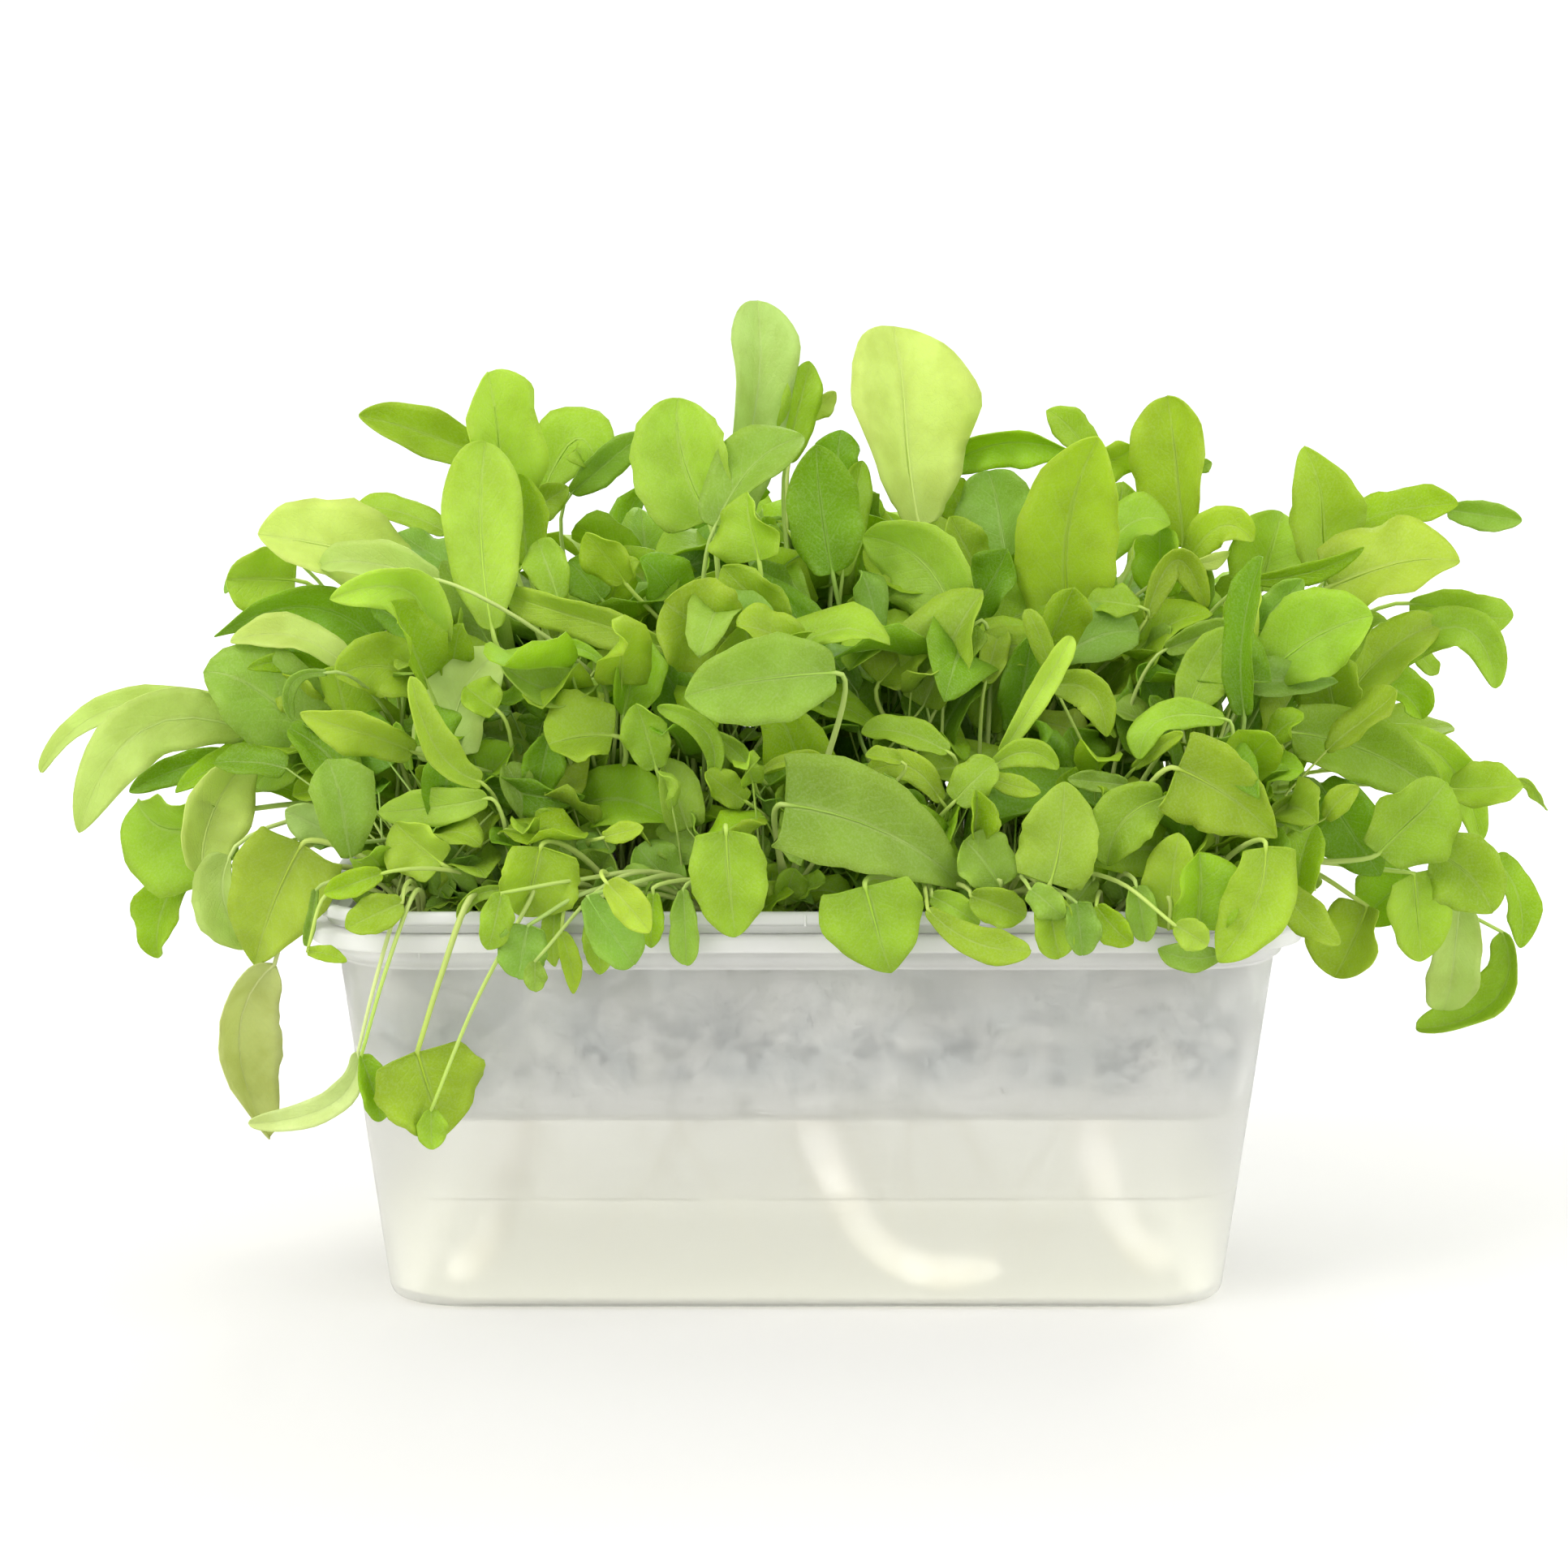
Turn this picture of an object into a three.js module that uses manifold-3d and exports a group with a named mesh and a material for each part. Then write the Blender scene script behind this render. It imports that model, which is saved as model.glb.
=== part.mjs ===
// Young garden sorrel growing thickly in a translucent wick-watered tub.
// Millimetres, +Z up. The origin is the centre of the tub's underside; the long side is along X.
import * as THREE from "three";
import { mergeVertices } from "three/addons/utils/BufferGeometryUtils.js";
import Module from "manifold-3d";

const wasm = await Module();
wasm.setup();

// Driving dimensions.
const rimLength = 284;
const rimWidth = 190;
const rimCorner = 28;
const tubHeight = 113.2;
const baseInset = 20.4;
const wallDraft = 13.3 / 105;
const tubWall = 1.2;
const panelDepth = 0.5;
const trayWall = 1.0;
const trayClearance = 1.0;
const trayFloor = 57;
const lipTop = 120;
const waterLevel = 34;
const soilLevel = 112.4;
const wickRadius = 5.5;
const looseFit = 0.35;
const cornerSteps = 4;

const stalkRadius = 0.95;
const bladeThickness = 1.3;
const crownRadius = 2.4;
const crownSides = 4;
const crownDepth = 7;
const crownRows = 5;
const crownColumns = 9;
const leavesPerPlant = 6;
const leafGap = 0.35;
const mostTries = 102;

// The leaves were read on an upright plane through the origin, from this point in front of it.
const eye = new THREE.Vector3(-6.5, -1300, 326);

function randomStream(seed) {
  let state = seed >>> 0;
  return function next() {
    state = (state + 0x6d2b79f5) >>> 0;
    let mixed = Math.imul(state ^ (state >>> 15), state | 1);
    mixed = (mixed + Math.imul(mixed ^ (mixed >>> 7), mixed | 61)) ^ mixed;
    return ((mixed ^ (mixed >>> 14)) >>> 0) / 4294967296;
  };
}

function point(x, y, z) {
  return new THREE.Vector3(x, y, z);
}

function mix(a, b, amount) {
  return a.clone().lerp(b, amount);
}

function wallInset(z) {
  return baseInset - wallDraft * z;
}

// Distance of (x, y) outside the rim's outline; negative inside it.
function outsideRim(x, y) {
  const overX = Math.abs(x) - (rimLength / 2 - rimCorner);
  const overY = Math.abs(y) - (rimWidth / 2 - rimCorner);
  const corner = Math.hypot(Math.max(overX, 0), Math.max(overY, 0));
  return corner + Math.min(Math.max(overX, overY), 0) - rimCorner;
}

// One level of the tub's outline: the rim's rounded rectangle moved in by an inset.
function outlineRing(inset, z) {
  const halfX = rimLength / 2 - inset;
  const halfY = rimWidth / 2 - inset;
  const radius = Math.max(rimCorner - inset * 0.3, 4);
  const ring = [];
  for (let corner = 0; corner < 4; corner++) {
    const centreX = (corner === 0 || corner === 3 ? 1 : -1) * (halfX - radius);
    const centreY = (corner < 2 ? 1 : -1) * (halfY - radius);
    for (let step = 0; step <= cornerSteps; step++) {
      const angle = (corner + step / cornerSteps) * Math.PI / 2;
      ring.push(point(centreX + radius * Math.cos(angle), centreY + radius * Math.sin(angle), z));
    }
  }
  return ring;
}

function geometryFrom(vertices, faces) {
  const positions = new Float32Array(vertices.length * 3);
  vertices.forEach((v, i) => positions.set([v.x, v.y, v.z], i * 3));
  const geometry = new THREE.BufferGeometry();
  geometry.setAttribute("position", new THREE.BufferAttribute(positions, 3));
  geometry.setIndex(faces.flat());
  return geometry;
}

// Closed loft through rings of equal length that run counter-clockwise seen from +Z, lowest ring first.
function loftRings(rings) {
  const count = rings[0].length;
  const vertices = rings.flat();
  const faces = [];
  for (let level = 0; level < rings.length - 1; level++) {
    for (let i = 0; i < count; i++) {
      const a = level * count + i;
      const b = level * count + (i + 1) % count;
      faces.push([a, b, b + count], [a, b + count, a + count]);
    }
  }
  const top = (rings.length - 1) * count;
  for (let i = 1; i < count - 1; i++) {
    faces.push([0, i + 1, i], [top, top + i, top + i + 1]);
  }
  return geometryFrom(vertices, faces);
}

function solidFrom(geometry) {
  const positions = geometry.getAttribute("position").array;
  const index = geometry.getIndex().array;
  const mesh = new wasm.Mesh({
    numProp: 3,
    vertProperties: Float32Array.from(positions),
    triVerts: Uint32Array.from(index),
  });
  return new wasm.Manifold(mesh);
}

function geometryOf(solid) {
  const mesh = solid.getMesh();
  const geometry = new THREE.BufferGeometry();
  geometry.setAttribute("position", new THREE.BufferAttribute(Float32Array.from(mesh.vertProperties), 3));
  geometry.setIndex(Array.from(mesh.triVerts));
  return geometry;
}

function meets(a, b) {
  const common = a.intersect(b);
  const touching = common.getMesh().triVerts.length > 0;
  common.delete();
  return touching;
}

function plainMaterial(colour, roughness, opacity = 1) {
  return new THREE.MeshStandardMaterial({
    color: colour,
    roughness,
    metalness: 0,
    transparent: opacity < 1,
    opacity,
  });
}

const object = new THREE.Group();

function addPiece(name, geometry, material) {
  const mesh = new THREE.Mesh(geometry, material);
  mesh.name = name;
  geometry.computeVertexNormals();
  object.add(mesh);
  return mesh;
}

// Thin-walled tub: outer skin from the underside up, over the rim, and down the inside. It stands on a
// plain rectangular panel that is a little proud of the underside.
function tubSolid() {
  const rows = [
    [baseInset + 3, panelDepth],
    [baseInset + 0.5, panelDepth + 0.8],
    [wallInset(3.6), 3.6],
    [wallInset(103.4), 103.4],
    [5.5, 104.2],
    [5.1, 106.0],
    [6.2, 107.6],
    [5.4, 111.8],
    [1.3, 111.8],
    [1.1, 108.6],
    [0.2, 108.6],
    [0, 109.2],
    [0, 112.5],
    [0.7, tubHeight],
    [6.4, tubHeight],
    [wallInset(110) + tubWall, 110],
    [wallInset(4) + tubWall, 4],
    [baseInset + 2.6, panelDepth + 1.4],
  ];
  const shell = solidFrom(loftRings(rows.map(([inset, z]) => outlineRing(inset, z))));
  return shell.add(solidFrom(loftRings([panelRing(0), panelRing(panelDepth + 0.4)])));
}

function panelRing(z) {
  const halfX = rimLength / 2 - baseInset - 9;
  const halfY = rimWidth / 2 - baseInset - 9;
  return [point(halfX, halfY, z), point(-halfX, halfY, z), point(-halfX, -halfY, z), point(halfX, -halfY, z)];
}

// Inner tray: hangs inside the tub and rests on its rim by the shoulder under the lip.
function traySolid() {
  const outside = tubWall + trayClearance;
  const inside = outside + trayWall;
  const rows = [
    [wallInset(trayFloor) + outside + 2, trayFloor],
    [wallInset(trayFloor + 2) + outside, trayFloor + 2],
    [8.3, tubHeight + 0.3],
    [4.2, tubHeight + 0.3],
    [4.2, 115.9],
    [1.6, 116.4],
    [1.1, 117.1],
    [1.1, 119.3],
    [1.8, lipTop],
    [3.6, lipTop],
    [5.2, 118.8],
    [5.4, 114.7],
    [9.3, 114.5],
    [wallInset(trayFloor + 2.6) + inside, trayFloor + 2.6],
    [wallInset(trayFloor) + inside + 2, trayFloor + 1.2],
  ];
  return solidFrom(loftRings(rows.map(([inset, z]) => outlineRing(inset, z))));
}

function trayInside(z) {
  return wallInset(z) + tubWall + trayClearance + trayWall + looseFit;
}

function soilHeight(x, y) {
  const dome = 1.8 * Math.max(0, 1 - (x / 132) ** 2) * Math.max(0, 1 - (y / 86) ** 2);
  const lumps = 0.8 * Math.sin(x * 0.11 + 0.7) * Math.cos(y * 0.13);
  return soilLevel + dome + (lumps + 0.5 * Math.sin(x * 0.31 + y * 0.23)) * Math.min(1, dome);
}

function soilSolid() {
  const edge = outlineRing(trayInside(soilLevel), soilLevel);
  const rings = [
    outlineRing(trayInside(trayFloor) + 2.2, trayFloor + 1.55),
    outlineRing(trayInside(trayFloor + 2.8), trayFloor + 2.8),
    edge,
  ];
  for (const share of [0.88, 0.66, 0.42, 0.16]) {
    rings.push(edge.map((p) => point(p.x * share, p.y * share, soilHeight(p.x * share, p.y * share))));
  }
  return solidFrom(loftRings(rings));
}

function waterSolid() {
  const clear = tubWall + looseFit;
  return solidFrom(loftRings([
    outlineRing(baseInset + 3.4, panelDepth + 1.4 + looseFit),
    outlineRing(wallInset(4.4) + clear, 4.4),
    outlineRing(wallInset(waterLevel) + clear, waterLevel),
  ]));
}

// Wick centre lines: down from the soil, through the tray's floor, and curling onto the tub's floor.
const wickPaths = {
  left: [[-84, -16, 70], [-85, -20, 57], [-87, -30, 36], [-91, -42, 19], [-97, -53, 10], [-103, -61, 8]],
  middle: [[0, -50, 70], [1, -54, 57], [10, -60, 32], [21, -62, 16], [36, -62, 8.6], [56, -58, 8]],
  right: [[82, -46, 70], [83, -50, 57], [84, -53, 43], [89, -55, 27], [98, -55, 13], [107, -48, 8.6]],
};

function wickSolid(path, radius, extend) {
  const points = path.map(([x, y, z]) => point(x, y, z));
  const last = points.length - 1;
  points[0].addScaledVector(points[0].clone().sub(points[1]).normalize(), extend);
  points[last].addScaledVector(points[last].clone().sub(points[last - 1]).normalize(), extend);
  const section = new THREE.Shape();
  for (let i = 0; i < 6; i++) {
    const angle = i * Math.PI / 3;
    const x = radius * Math.cos(angle);
    const y = radius * Math.sin(angle);
    if (i === 0) section.moveTo(x, y);
    else section.lineTo(x, y);
  }
  section.closePath();
  const tube = new THREE.ExtrudeGeometry(section, {
    steps: 9,
    bevelEnabled: false,
    extrudePath: new THREE.CatmullRomCurve3(points),
  });
  return solidFrom(welded(tube));
}

// An extruded piece closes once its corners are shared.
function welded(geometry) {
  geometry.deleteAttribute("normal");
  geometry.deleteAttribute("uv");
  return mergeVertices(geometry, 1e-3);
}

// Crowns stand on a loose grid over the soil.
function crownPlaces() {
  const random = randomStream(41);
  const places = [];
  for (let row = 0; row < crownRows; row++) {
    for (let column = 0; column < crownColumns; column++) {
      const x = (column - (crownColumns - 1) / 2) * 28.6 + (random() - 0.5) * 13;
      const y = (row - (crownRows - 1) / 2) * 34.5 + (random() - 0.5) * 12;
      places.push(point(x, y, soilHeight(x, y)));
    }
  }
  return places;
}

function crownRing(place, radius, z) {
  const ring = [];
  for (let i = 0; i < crownSides; i++) {
    const angle = i * 2 * Math.PI / crownSides + place.x;
    ring.push(point(place.x + radius * Math.cos(angle), place.y + radius * Math.sin(angle), z));
  }
  return ring;
}

function crownSolid(place) {
  return solidFrom(loftRings([
    crownRing(place, crownRadius * 0.75, place.z - crownDepth),
    crownRing(place, crownRadius * 1.25, place.z + 3.6),
  ]));
}

function crownHole(place) {
  return solidFrom(loftRings([
    crownRing(place, crownRadius * 0.75 + 0.7, place.z - crownDepth - 0.5),
    crownRing(place, crownRadius * 1.25 + 2.6, place.z + 12),
  ]));
}

// Blade outlines. The blade widens from its base share to full width at the peak, and then narrows to
// the tip; a higher round keeps it broad for longer, and a lower blunt makes the tip rounder. The lobe is
// how far the corners at the stalk reach back, as a share of the blade's length.
const bladeShapes = {
  oval: { peak: 0.48, base: 0.3, round: 2.4, blunt: 0.5, lobe: 0.02 },
  arrow: { peak: 0.16, base: 0.88, round: 1.6, blunt: 0.78, lobe: 0.14 },
  heart: { peak: 0.36, base: 0.6, round: 2.2, blunt: 0.5, lobe: 0.06 },
  round: { peak: 0.52, base: 0.5, round: 2.3, blunt: 0.5, lobe: 0.04 },
  strap: { peak: 0.5, base: 0.4, round: 2.8, blunt: 0.5, lobe: 0 },
  spoon: { peak: 0.64, base: 0.2, round: 2.3, blunt: 0.5, lobe: 0 },
  squared: { peak: 0.84, base: 0.62, round: 5, blunt: 0.5, lobe: 0 },
  folded: { peak: 0.46, base: 0.4, round: 2.2, blunt: 0.5, lobe: 0.01 },
};
const largeStations = [0.08, 0.34, 0.66, 0.9];
const smallStations = [0.1, 0.42, 0.8];
const tinyStations = [0.3, 0.78];
const largeBlade = 21.5;
const tinyBlade = 9.2;

function bladeStations(width) {
  if (width >= largeBlade) return largeStations;
  return width < tinyBlade ? tinyStations : smallStations;
}

function halfWidthShare(shape, share) {
  const { peak, base, round, blunt } = bladeShapes[shape];
  if (share < peak) return base + (1 - base) * (1 - ((peak - share) / peak) ** 2);
  return (1 - ((share - peak) / (1 - peak)) ** round) ** blunt;
}

// The leaves that the front view shows, each as
// [shape, width, depth y, base x, base z, tip x, tip z, turn in degrees, middle x, middle z],
// in millimetres on the upright plane through the origin; the depth then sets it forward or back.
const seenLeaves = [
  // large leaves at the front
  ["arrow", 28, -100, -6, 137, 51, 111, 0, 23, 129],
  ["arrow", 27, -105, 18, 112, 26, 84, 0],
  ["arrow", 24, -93, 112, 148, 142, 128, 0],
  ["arrow", 27, -78, -152, 125, -168, 85, 0, -161, 107],
  ["heart", 21, -99, 74, 113, 78, 144, 0, 77, 127],
  ["heart", 20, -104, -24, 129, -21, 96, 0, -23, 113],
  ["heart", 21, -99, -80, 124, -85, 102, 0],
  ["oval", 23, -86, 9, 177, -36, 170, 0, -13, 175],
  ["heart", 29, -106, -118, 61, -109, 34, 0, -114, 48],
  ["strap", 16, -66, -161, 88, -164, 35, 0, -172, 66],
  ["strap", 6.9, -101, -136, 61, -170, 39, 0, -144, 45],
  ["oval", 7.9, -106, -135, 60, -128, 39, 0],
  ["oval", 7.9, -101, -114, 43, -114, 31, 0],
  ["heart", 18, -104, 139, 124, 125, 89, 0, 136, 106],
  ["oval", 16, -92, 108, 139, 91, 118, 0, 96, 132],
  ["oval", 14, -96, 110, 99, 112, 128, 0],
  ["round", 18, -90, 119, 99, 120, 122, 0],
  ["round", 15, -88, -110, 119, -124, 131, 0],
  ["oval", 10, -84, -96, 139, -131, 135, 0, -113, 136],
  ["round", 21, -52, 173, 122, 194, 142, 0],
  ["heart", 18, -40, 146, 159, 194, 139, 0, 170, 153],
  ["oval", 20, -44, 189, 122, 208, 104, 0, 200, 116],
  ["heart", 18, -50, 184, 116, 187, 89, 0],
  // over the rim, left to right
  ["strap", 2.8, -90, -148, 111, -151, 94, 15],
  ["oval", 4.2, -94, -151, 92, -139, 89, 0],
  ["oval", 10, -94, -122, 107, -139, 99, 0],
  ["oval", 6.9, -88, -128, 116, -145, 110, 0],
  ["strap", 3.5, -96, -90, 111, -105, 102, 0, -100, 109],
  ["oval", 8.8, -98, -92, 110, -96, 92, 0],
  ["round", 13, -105, -84, 100, -87, 84, 0],
  ["oval", 6, -100, -82, 89, -82, 80, 0],
  ["oval", 6.9, -101, -76, 105, -77, 87, 0],
  ["oval", 5.1, -101, -74, 98, -69, 79, 0],
  ["folded", 9, -105, -60, 113, -47, 98, 0],
  ["spoon", 14, -100, -66, 109, -51, 88, 0],
  ["oval", 7.9, -97, -64, 103, -62, 85, 0],
  ["oval", 6, -98, -46, 110, -47, 93, 0],
  ["spoon", 7.6, -100, -37, 111, -36, 88, 0],
  ["oval", 7.9, -98, 38, 109, 53, 100, 0],
  ["spoon", 9, -105, 37, 105, 68, 92, 0, 51, 95],
  ["round", 10, -102, 73, 110, 77, 90, 0],
  ["round", 9, -105, 82, 107, 84, 91, 0],
  ["oval", 8.1, -102, 88, 106, 99, 94, 0],
  ["round", 7.9, -99, 100, 112, 103, 95, 0],
  ["oval", 10, -96, 50, 109, 67, 102, 0],
  ["oval", 7.4, -100, 125, 91, 107, 93, 0, 116, 90],
  ["oval", 8.3, -97, 112, 100, 122, 94, 0],
  ["oval", 10, -88, 143, 114, 162, 94, 0, 151, 103],
  // low along the front
  ["round", 8.3, -98, 68, 111, 78, 102, 0],
  ["oval", 7.4, -92, 87, 114, 80, 105, 0],
  ["round", 10, -91, 103, 108, 96, 114, 0],
  ["round", 15, -94, 59, 112, 48, 126, 0],
  ["folded", 6.9, -92, 51, 127, 52, 141, 0],
  ["round", 11, -90, 45, 138, 57, 150, 0],
  ["oval", 7.4, -82, 57, 149, 76, 148, 0, 67, 153],
  ["oval", 5.5, -86, 54, 146, 71, 141, 0],
  ["oval", 7.9, -88, 41, 138, 18, 145, 0, 30, 149],
  ["oval", 7.9, -78, 43, 153, 17, 159, 0, 29, 159],
  ["oval", 4.2, -84, 29, 150, 18, 152, 0],
  ["oval", 5.5, -84, 97, 143, 79, 145, 0],
  ["round", 14, -88, -39, 111, -51, 124, 0],
  ["round", 13, -84, -66, 112, -59, 122, 0],
  ["round", 8.3, -80, -69, 122, -58, 124, 0],
  ["oval", 5.5, -86, -61, 127, -49, 130, 0],
  ["round", 12, -76, -32, 120, -36, 135, 0],
  ["oval", 14, -78, -91, 112, -110, 127, 0],
  ["round", 8.3, -80, -18, 138, -30, 147, 0],
  ["strap", 6, -84, -28, 146, -44, 166, 0, -30, 159],
  ["oval", 5.5, -76, -15, 147, -28, 159, 0],
  ["spoon", 4.2, -86, -13, 147, 8, 149, 0, -3, 151],
  ["oval", 9, -70, 154, 111, 142, 123, 0],
  ["oval", 12, -70, 147, 105, 152, 132, 0],
  ["strap", 4.2, -60, 154, 139, 139, 131, 0, 145, 137],
  ["oval", 9, -84, -23, 115, -12, 127, 0],
  ["round", 9, -92, -106, 113, -100, 122, 0],
  // middle height, left part
  ["round", 18, -76, -58, 158, -77, 155, 0, -68, 158],
  ["oval", 11, -70, -77, 158, -81, 139, 0],
  ["heart", 8.8, -60, -97, 143, -68, 138, 0],
  ["oval", 12, -80, -45, 148, -51, 168, 0],
  ["heart", 15, -56, -32, 159, -46, 183, 0],
  ["folded", 13, -66, -55, 164, -50, 188, 0],
  ["oval", 12, -58, -64, 175, -93, 179, 0, -76, 172],
  ["strap", 3.9, -64, -61, 180, -79, 183, 0, -70, 185],
  ["strap", 10, -56, -42, 184, -92, 199, 0, -66, 193],
  ["heart", 19, -58, -106, 151, -92, 186, 0, -104, 169],
  ["round", 10, -64, -93, 166, -102, 173, 0],
  ["strap", 8.3, -74, -98, 144, -117, 174, 0, -111, 154],
  ["round", 8.8, -66, -91, 148, -99, 156, 0],
  ["round", 25, -62, -22, 186, -42, 198, 0],
  ["oval", 14, -50, -5, 192, -25, 209, 0],
  ["round", 11, -66, -2, 184, -20, 192, 0],
  ["heart", 14, -60, -113, 186, -142, 199, 0, -120, 202],
  ["oval", 16, -66, -112, 172, -141, 175, 0, -127, 179],
  ["oval", 9, -44, -136, 177, -172, 186, 0, -153, 188],
  ["oval", 5.5, -36, -140, 175, -168, 179, 0, -153, 180],
  ["arrow", 14, -30, -129, 187, -178, 185, 0, -152, 197],
  ["oval", 11, -72, -118, 153, -150, 162, 0, -134, 159],
  ["strap", 3.2, -62, -144, 177, -155, 163, 0, -154, 174],
  ["oval", 10, -40, -146, 166, -159, 176, 0],
  ["oval", 9, -20, -151, 165, -167, 166, 0],
  ["oval", 7.9, -46, -110, 186, -132, 198, 0],
  ["oval", 12, -44, -143, 156, -168, 144, 0],
  ["oval", 7.9, -34, -158, 155, -190, 141, 0, -173, 151],
  ["oval", 17, -56, -182, 116, -166, 154, 0, -179, 134],
  ["round", 25, -46, -175, 134, -204, 137, 0, -191, 129],
  ["oval", 12, -72, -174, 121, -169, 93, 0, -176, 108],
  ["folded", 12, -50, -188, 116, -197, 89, 0, -195, 104],
  ["strap", 6.9, 0, -169, 166, -235, 147, 0, -206, 167],
  ["oval", 17, -30, -167, 159, -218, 129, 0, -199, 160],
  ["oval", 7.4, -20, -173, 152, -204, 141, 0],
  ["oval", 11, -84, -115, 112, -142, 132, 0],
  ["oval", 10, -70, -142, 127, -157, 135, 0],
  ["oval", 14, -56, -94, 144, -119, 147, 0],
  ["oval", 12, -40, -71, 165, -86, 175, 0],
  ["oval", 12, -60, -109, 155, -115, 167, 0],
  // middle height, right part
  ["oval", 14, -46, 16, 159, 13, 181, 0],
  ["heart", 14, -48, 22, 174, 36, 192, 0],
  ["heart", 13, -44, 51, 192, 34, 177, 0],
  ["oval", 7.4, -50, 54, 174, 59, 193, 0],
  ["oval", 12, -40, 63, 159, 68, 189, 0],
  ["strap", 6.2, -72, 59, 152, 80, 188, 0, 72, 174],
  ["oval", 10, -64, 74, 173, 90, 158, 0, 86, 171],
  ["oval", 14, -60, 114, 164, 127, 189, 0],
  ["strap", 8.3, -66, 126, 163, 100, 151, 0, 107, 163],
  ["strap", 3.9, -70, 99, 148, 114, 159, 0],
  ["strap", 8.8, -50, 132, 164, 137, 212, 0, 131, 189],
  ["oval", 8.3, -28, 135, 191, 149, 205, 0],
  ["oval", 14, -24, 138, 171, 148, 196, 0],
  ["oval", 6.9, -44, 108, 184, 128, 192, 0],
  ["oval", 22, -38, 138, 176, 170, 194, 0, 153, 188],
  ["round", 18, -26, 159, 164, 155, 183, 0],
  ["oval", 14, -30, 159, 164, 191, 194, 0, 173, 182],
  ["strap", 11, -12, 166, 171, 208, 172, 0, 194, 191],
  ["oval", 12, 2, 181, 198, 212, 191, 0, 198, 195],
  ["heart", 21, -22, 157, 203, 195, 213, 0, 176, 210],
  ["oval", 5.5, -16, 135, 205, 167, 213, 0, 150, 207],
  ["oval", 18, -30, 155, 143, 172, 116, 0],
  ["strap", 10, -20, 173, 158, 205, 124, 0, 193, 150],
  ["oval", 12, -16, 194, 142, 216, 144, 0],
  ["strap", 2.8, -14, 214, 144, 222, 134, 0, 219, 142],
  ["round", 10, -8, 164, 164, 195, 161, 0, 179, 161],
  ["oval", 8.8, -14, 167, 172, 185, 163, 0, 179, 171],
  ["round", 14, -40, 184, 116, 168, 103, 0],
  ["round", 17, -44, 170, 106, 161, 84, 0],
  ["strap", 13, -30, 198, 106, 195, 72, 0],
  ["strap", 10, -36, 211, 98, 186, 66, 0, 210, 78],
  ["oval", 9, -20, 208, 121, 216, 94, 0, 216, 108],
  ["oval", 5.1, 4, 183, 184, 190, 177, 0],
  ["oval", 12, -40, 38, 160, 31, 172, 0],
  ["oval", 12, -40, 85, 145, 80, 160, 0],
  ["oval", 10, -30, 107, 165, 99, 179, 0],
  ["oval", 12, -36, -8, 160, -1, 172, 0],
  // tall leaves
  ["spoon", 30, 0, 34, 221, 30, 281, 0, 30, 251],
  ["squared", 15, 4, -21, 223, -11, 289, 0, -15, 256],
  ["spoon", 22, -4, -89, 217, -92, 265, 0, -91, 243],
  ["spoon", 21, -38, -94, 190, -96, 246, 0, -97, 217],
  ["heart", 25, -20, -29, 223, -38, 259, 0, -37, 242],
  ["heart", 22, -34, 43, 197, 18, 219, 0, 34, 211],
  ["oval", 26, -14, 81, 185, 88, 249, 0, 78, 218],
  ["strap", 17, 8, 113, 215, 108, 260, 0],
  ["oval", 19, -36, 8, 207, 2, 246, 0],
  ["oval", 14, -30, -27, 221, -1, 251, 0, -17, 238],
  ["round", 18, -6, 60, 211, 56, 237, 0],
  ["folded", 11, -24, -83, 209, -86, 236, 0],
  ["folded", 12, 8, -95, 241, -133, 254, 0],
  ["oval", 16, 14, -79, 230, -62, 239, 0, -69, 247],
  ["oval", 8.3, 12, -70, 231, -48, 250, 0],
  ["oval", 10, 14, -6, 240, 2, 270, 0],
  ["oval", 5.1, 40, 0, 253, 9, 261, 0],
  ["oval", 9, -4, 11, 206, 17, 241, 0],
  ["oval", 12, -30, 37, 193, 17, 214, 0, 27, 207],
  ["oval", 11, -10, 53, 205, 43, 224, 0],
  ["oval", 10, 20, 42, 239, 77, 242, 0, 60, 246],
  ["oval", 9, 22, 86, 242, 73, 256, 0],
  ["round", 10, 16, 86, 238, 98, 244, 0],
  ["oval", 3.5, 26, 117, 238, 121, 240, 0],
  ["oval", 12, -12, 88, 210, 110, 224, 0, 97, 222],
  ["round", 14, -4, 107, 200, 105, 221, 0],
  ["oval", 10, 0, 114, 210, 134, 217, 0, 124, 221],
  ["strap", 3.7, -8, 112, 208, 128, 212, 0],
  ["strap", 6.9, -30, 102, 193, 119, 196, 0, 111, 211],
  ["oval", 7.9, -34, 100, 197, 84, 199, 0],
  ["oval", 12, -20, 49, 193, 61, 214, 0],
  ["oval", 21, -24, -119, 208, -164, 218, 0, -141, 215],
  ["oval", 10, -38, -110, 205, -148, 211, 0, -130, 210],
  ["round", 18, 0, -153, 205, -173, 205, 0],
  ["oval", 5.1, -8, -162, 212, -174, 201, 0],
  ["strap", 7.4, 10, -107, 219, -135, 228, 0, -120, 225],
  ["oval", 8.8, -6, -105, 208, -122, 219, 0],
  ["oval", 11, -20, -95, 186, -108, 211, 0],
  ["heart", 18, -6, 156, 206, 153, 241, 0],
  ["heart", 21, -8, 136, 202, 143, 226, 0],
  ["oval", 9, 4, 163, 220, 194, 226, 0, 177, 226],
  ["oval", 7.4, 20, 192, 226, 214, 223, 0],
  ["heart", 16, -44, -14, 211, -19, 231, 0],
  ["oval", 9, 6, 93, 223, 95, 234, 0],
  ["oval", 12, 4, 9, 233, 10, 250, 0],
  ["oval", 10, 10, 48, 223, 42, 235, 0],
  ["oval", 14, -20, -35, 194, -47, 211, 0],
  ["oval", 12, -20, -61, 199, -71, 211, 0],
  ["oval", 11, -46, -74, 199, -81, 218, 0],
  ["oval", 11, -40, -54, 204, -66, 218, 0],
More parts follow.
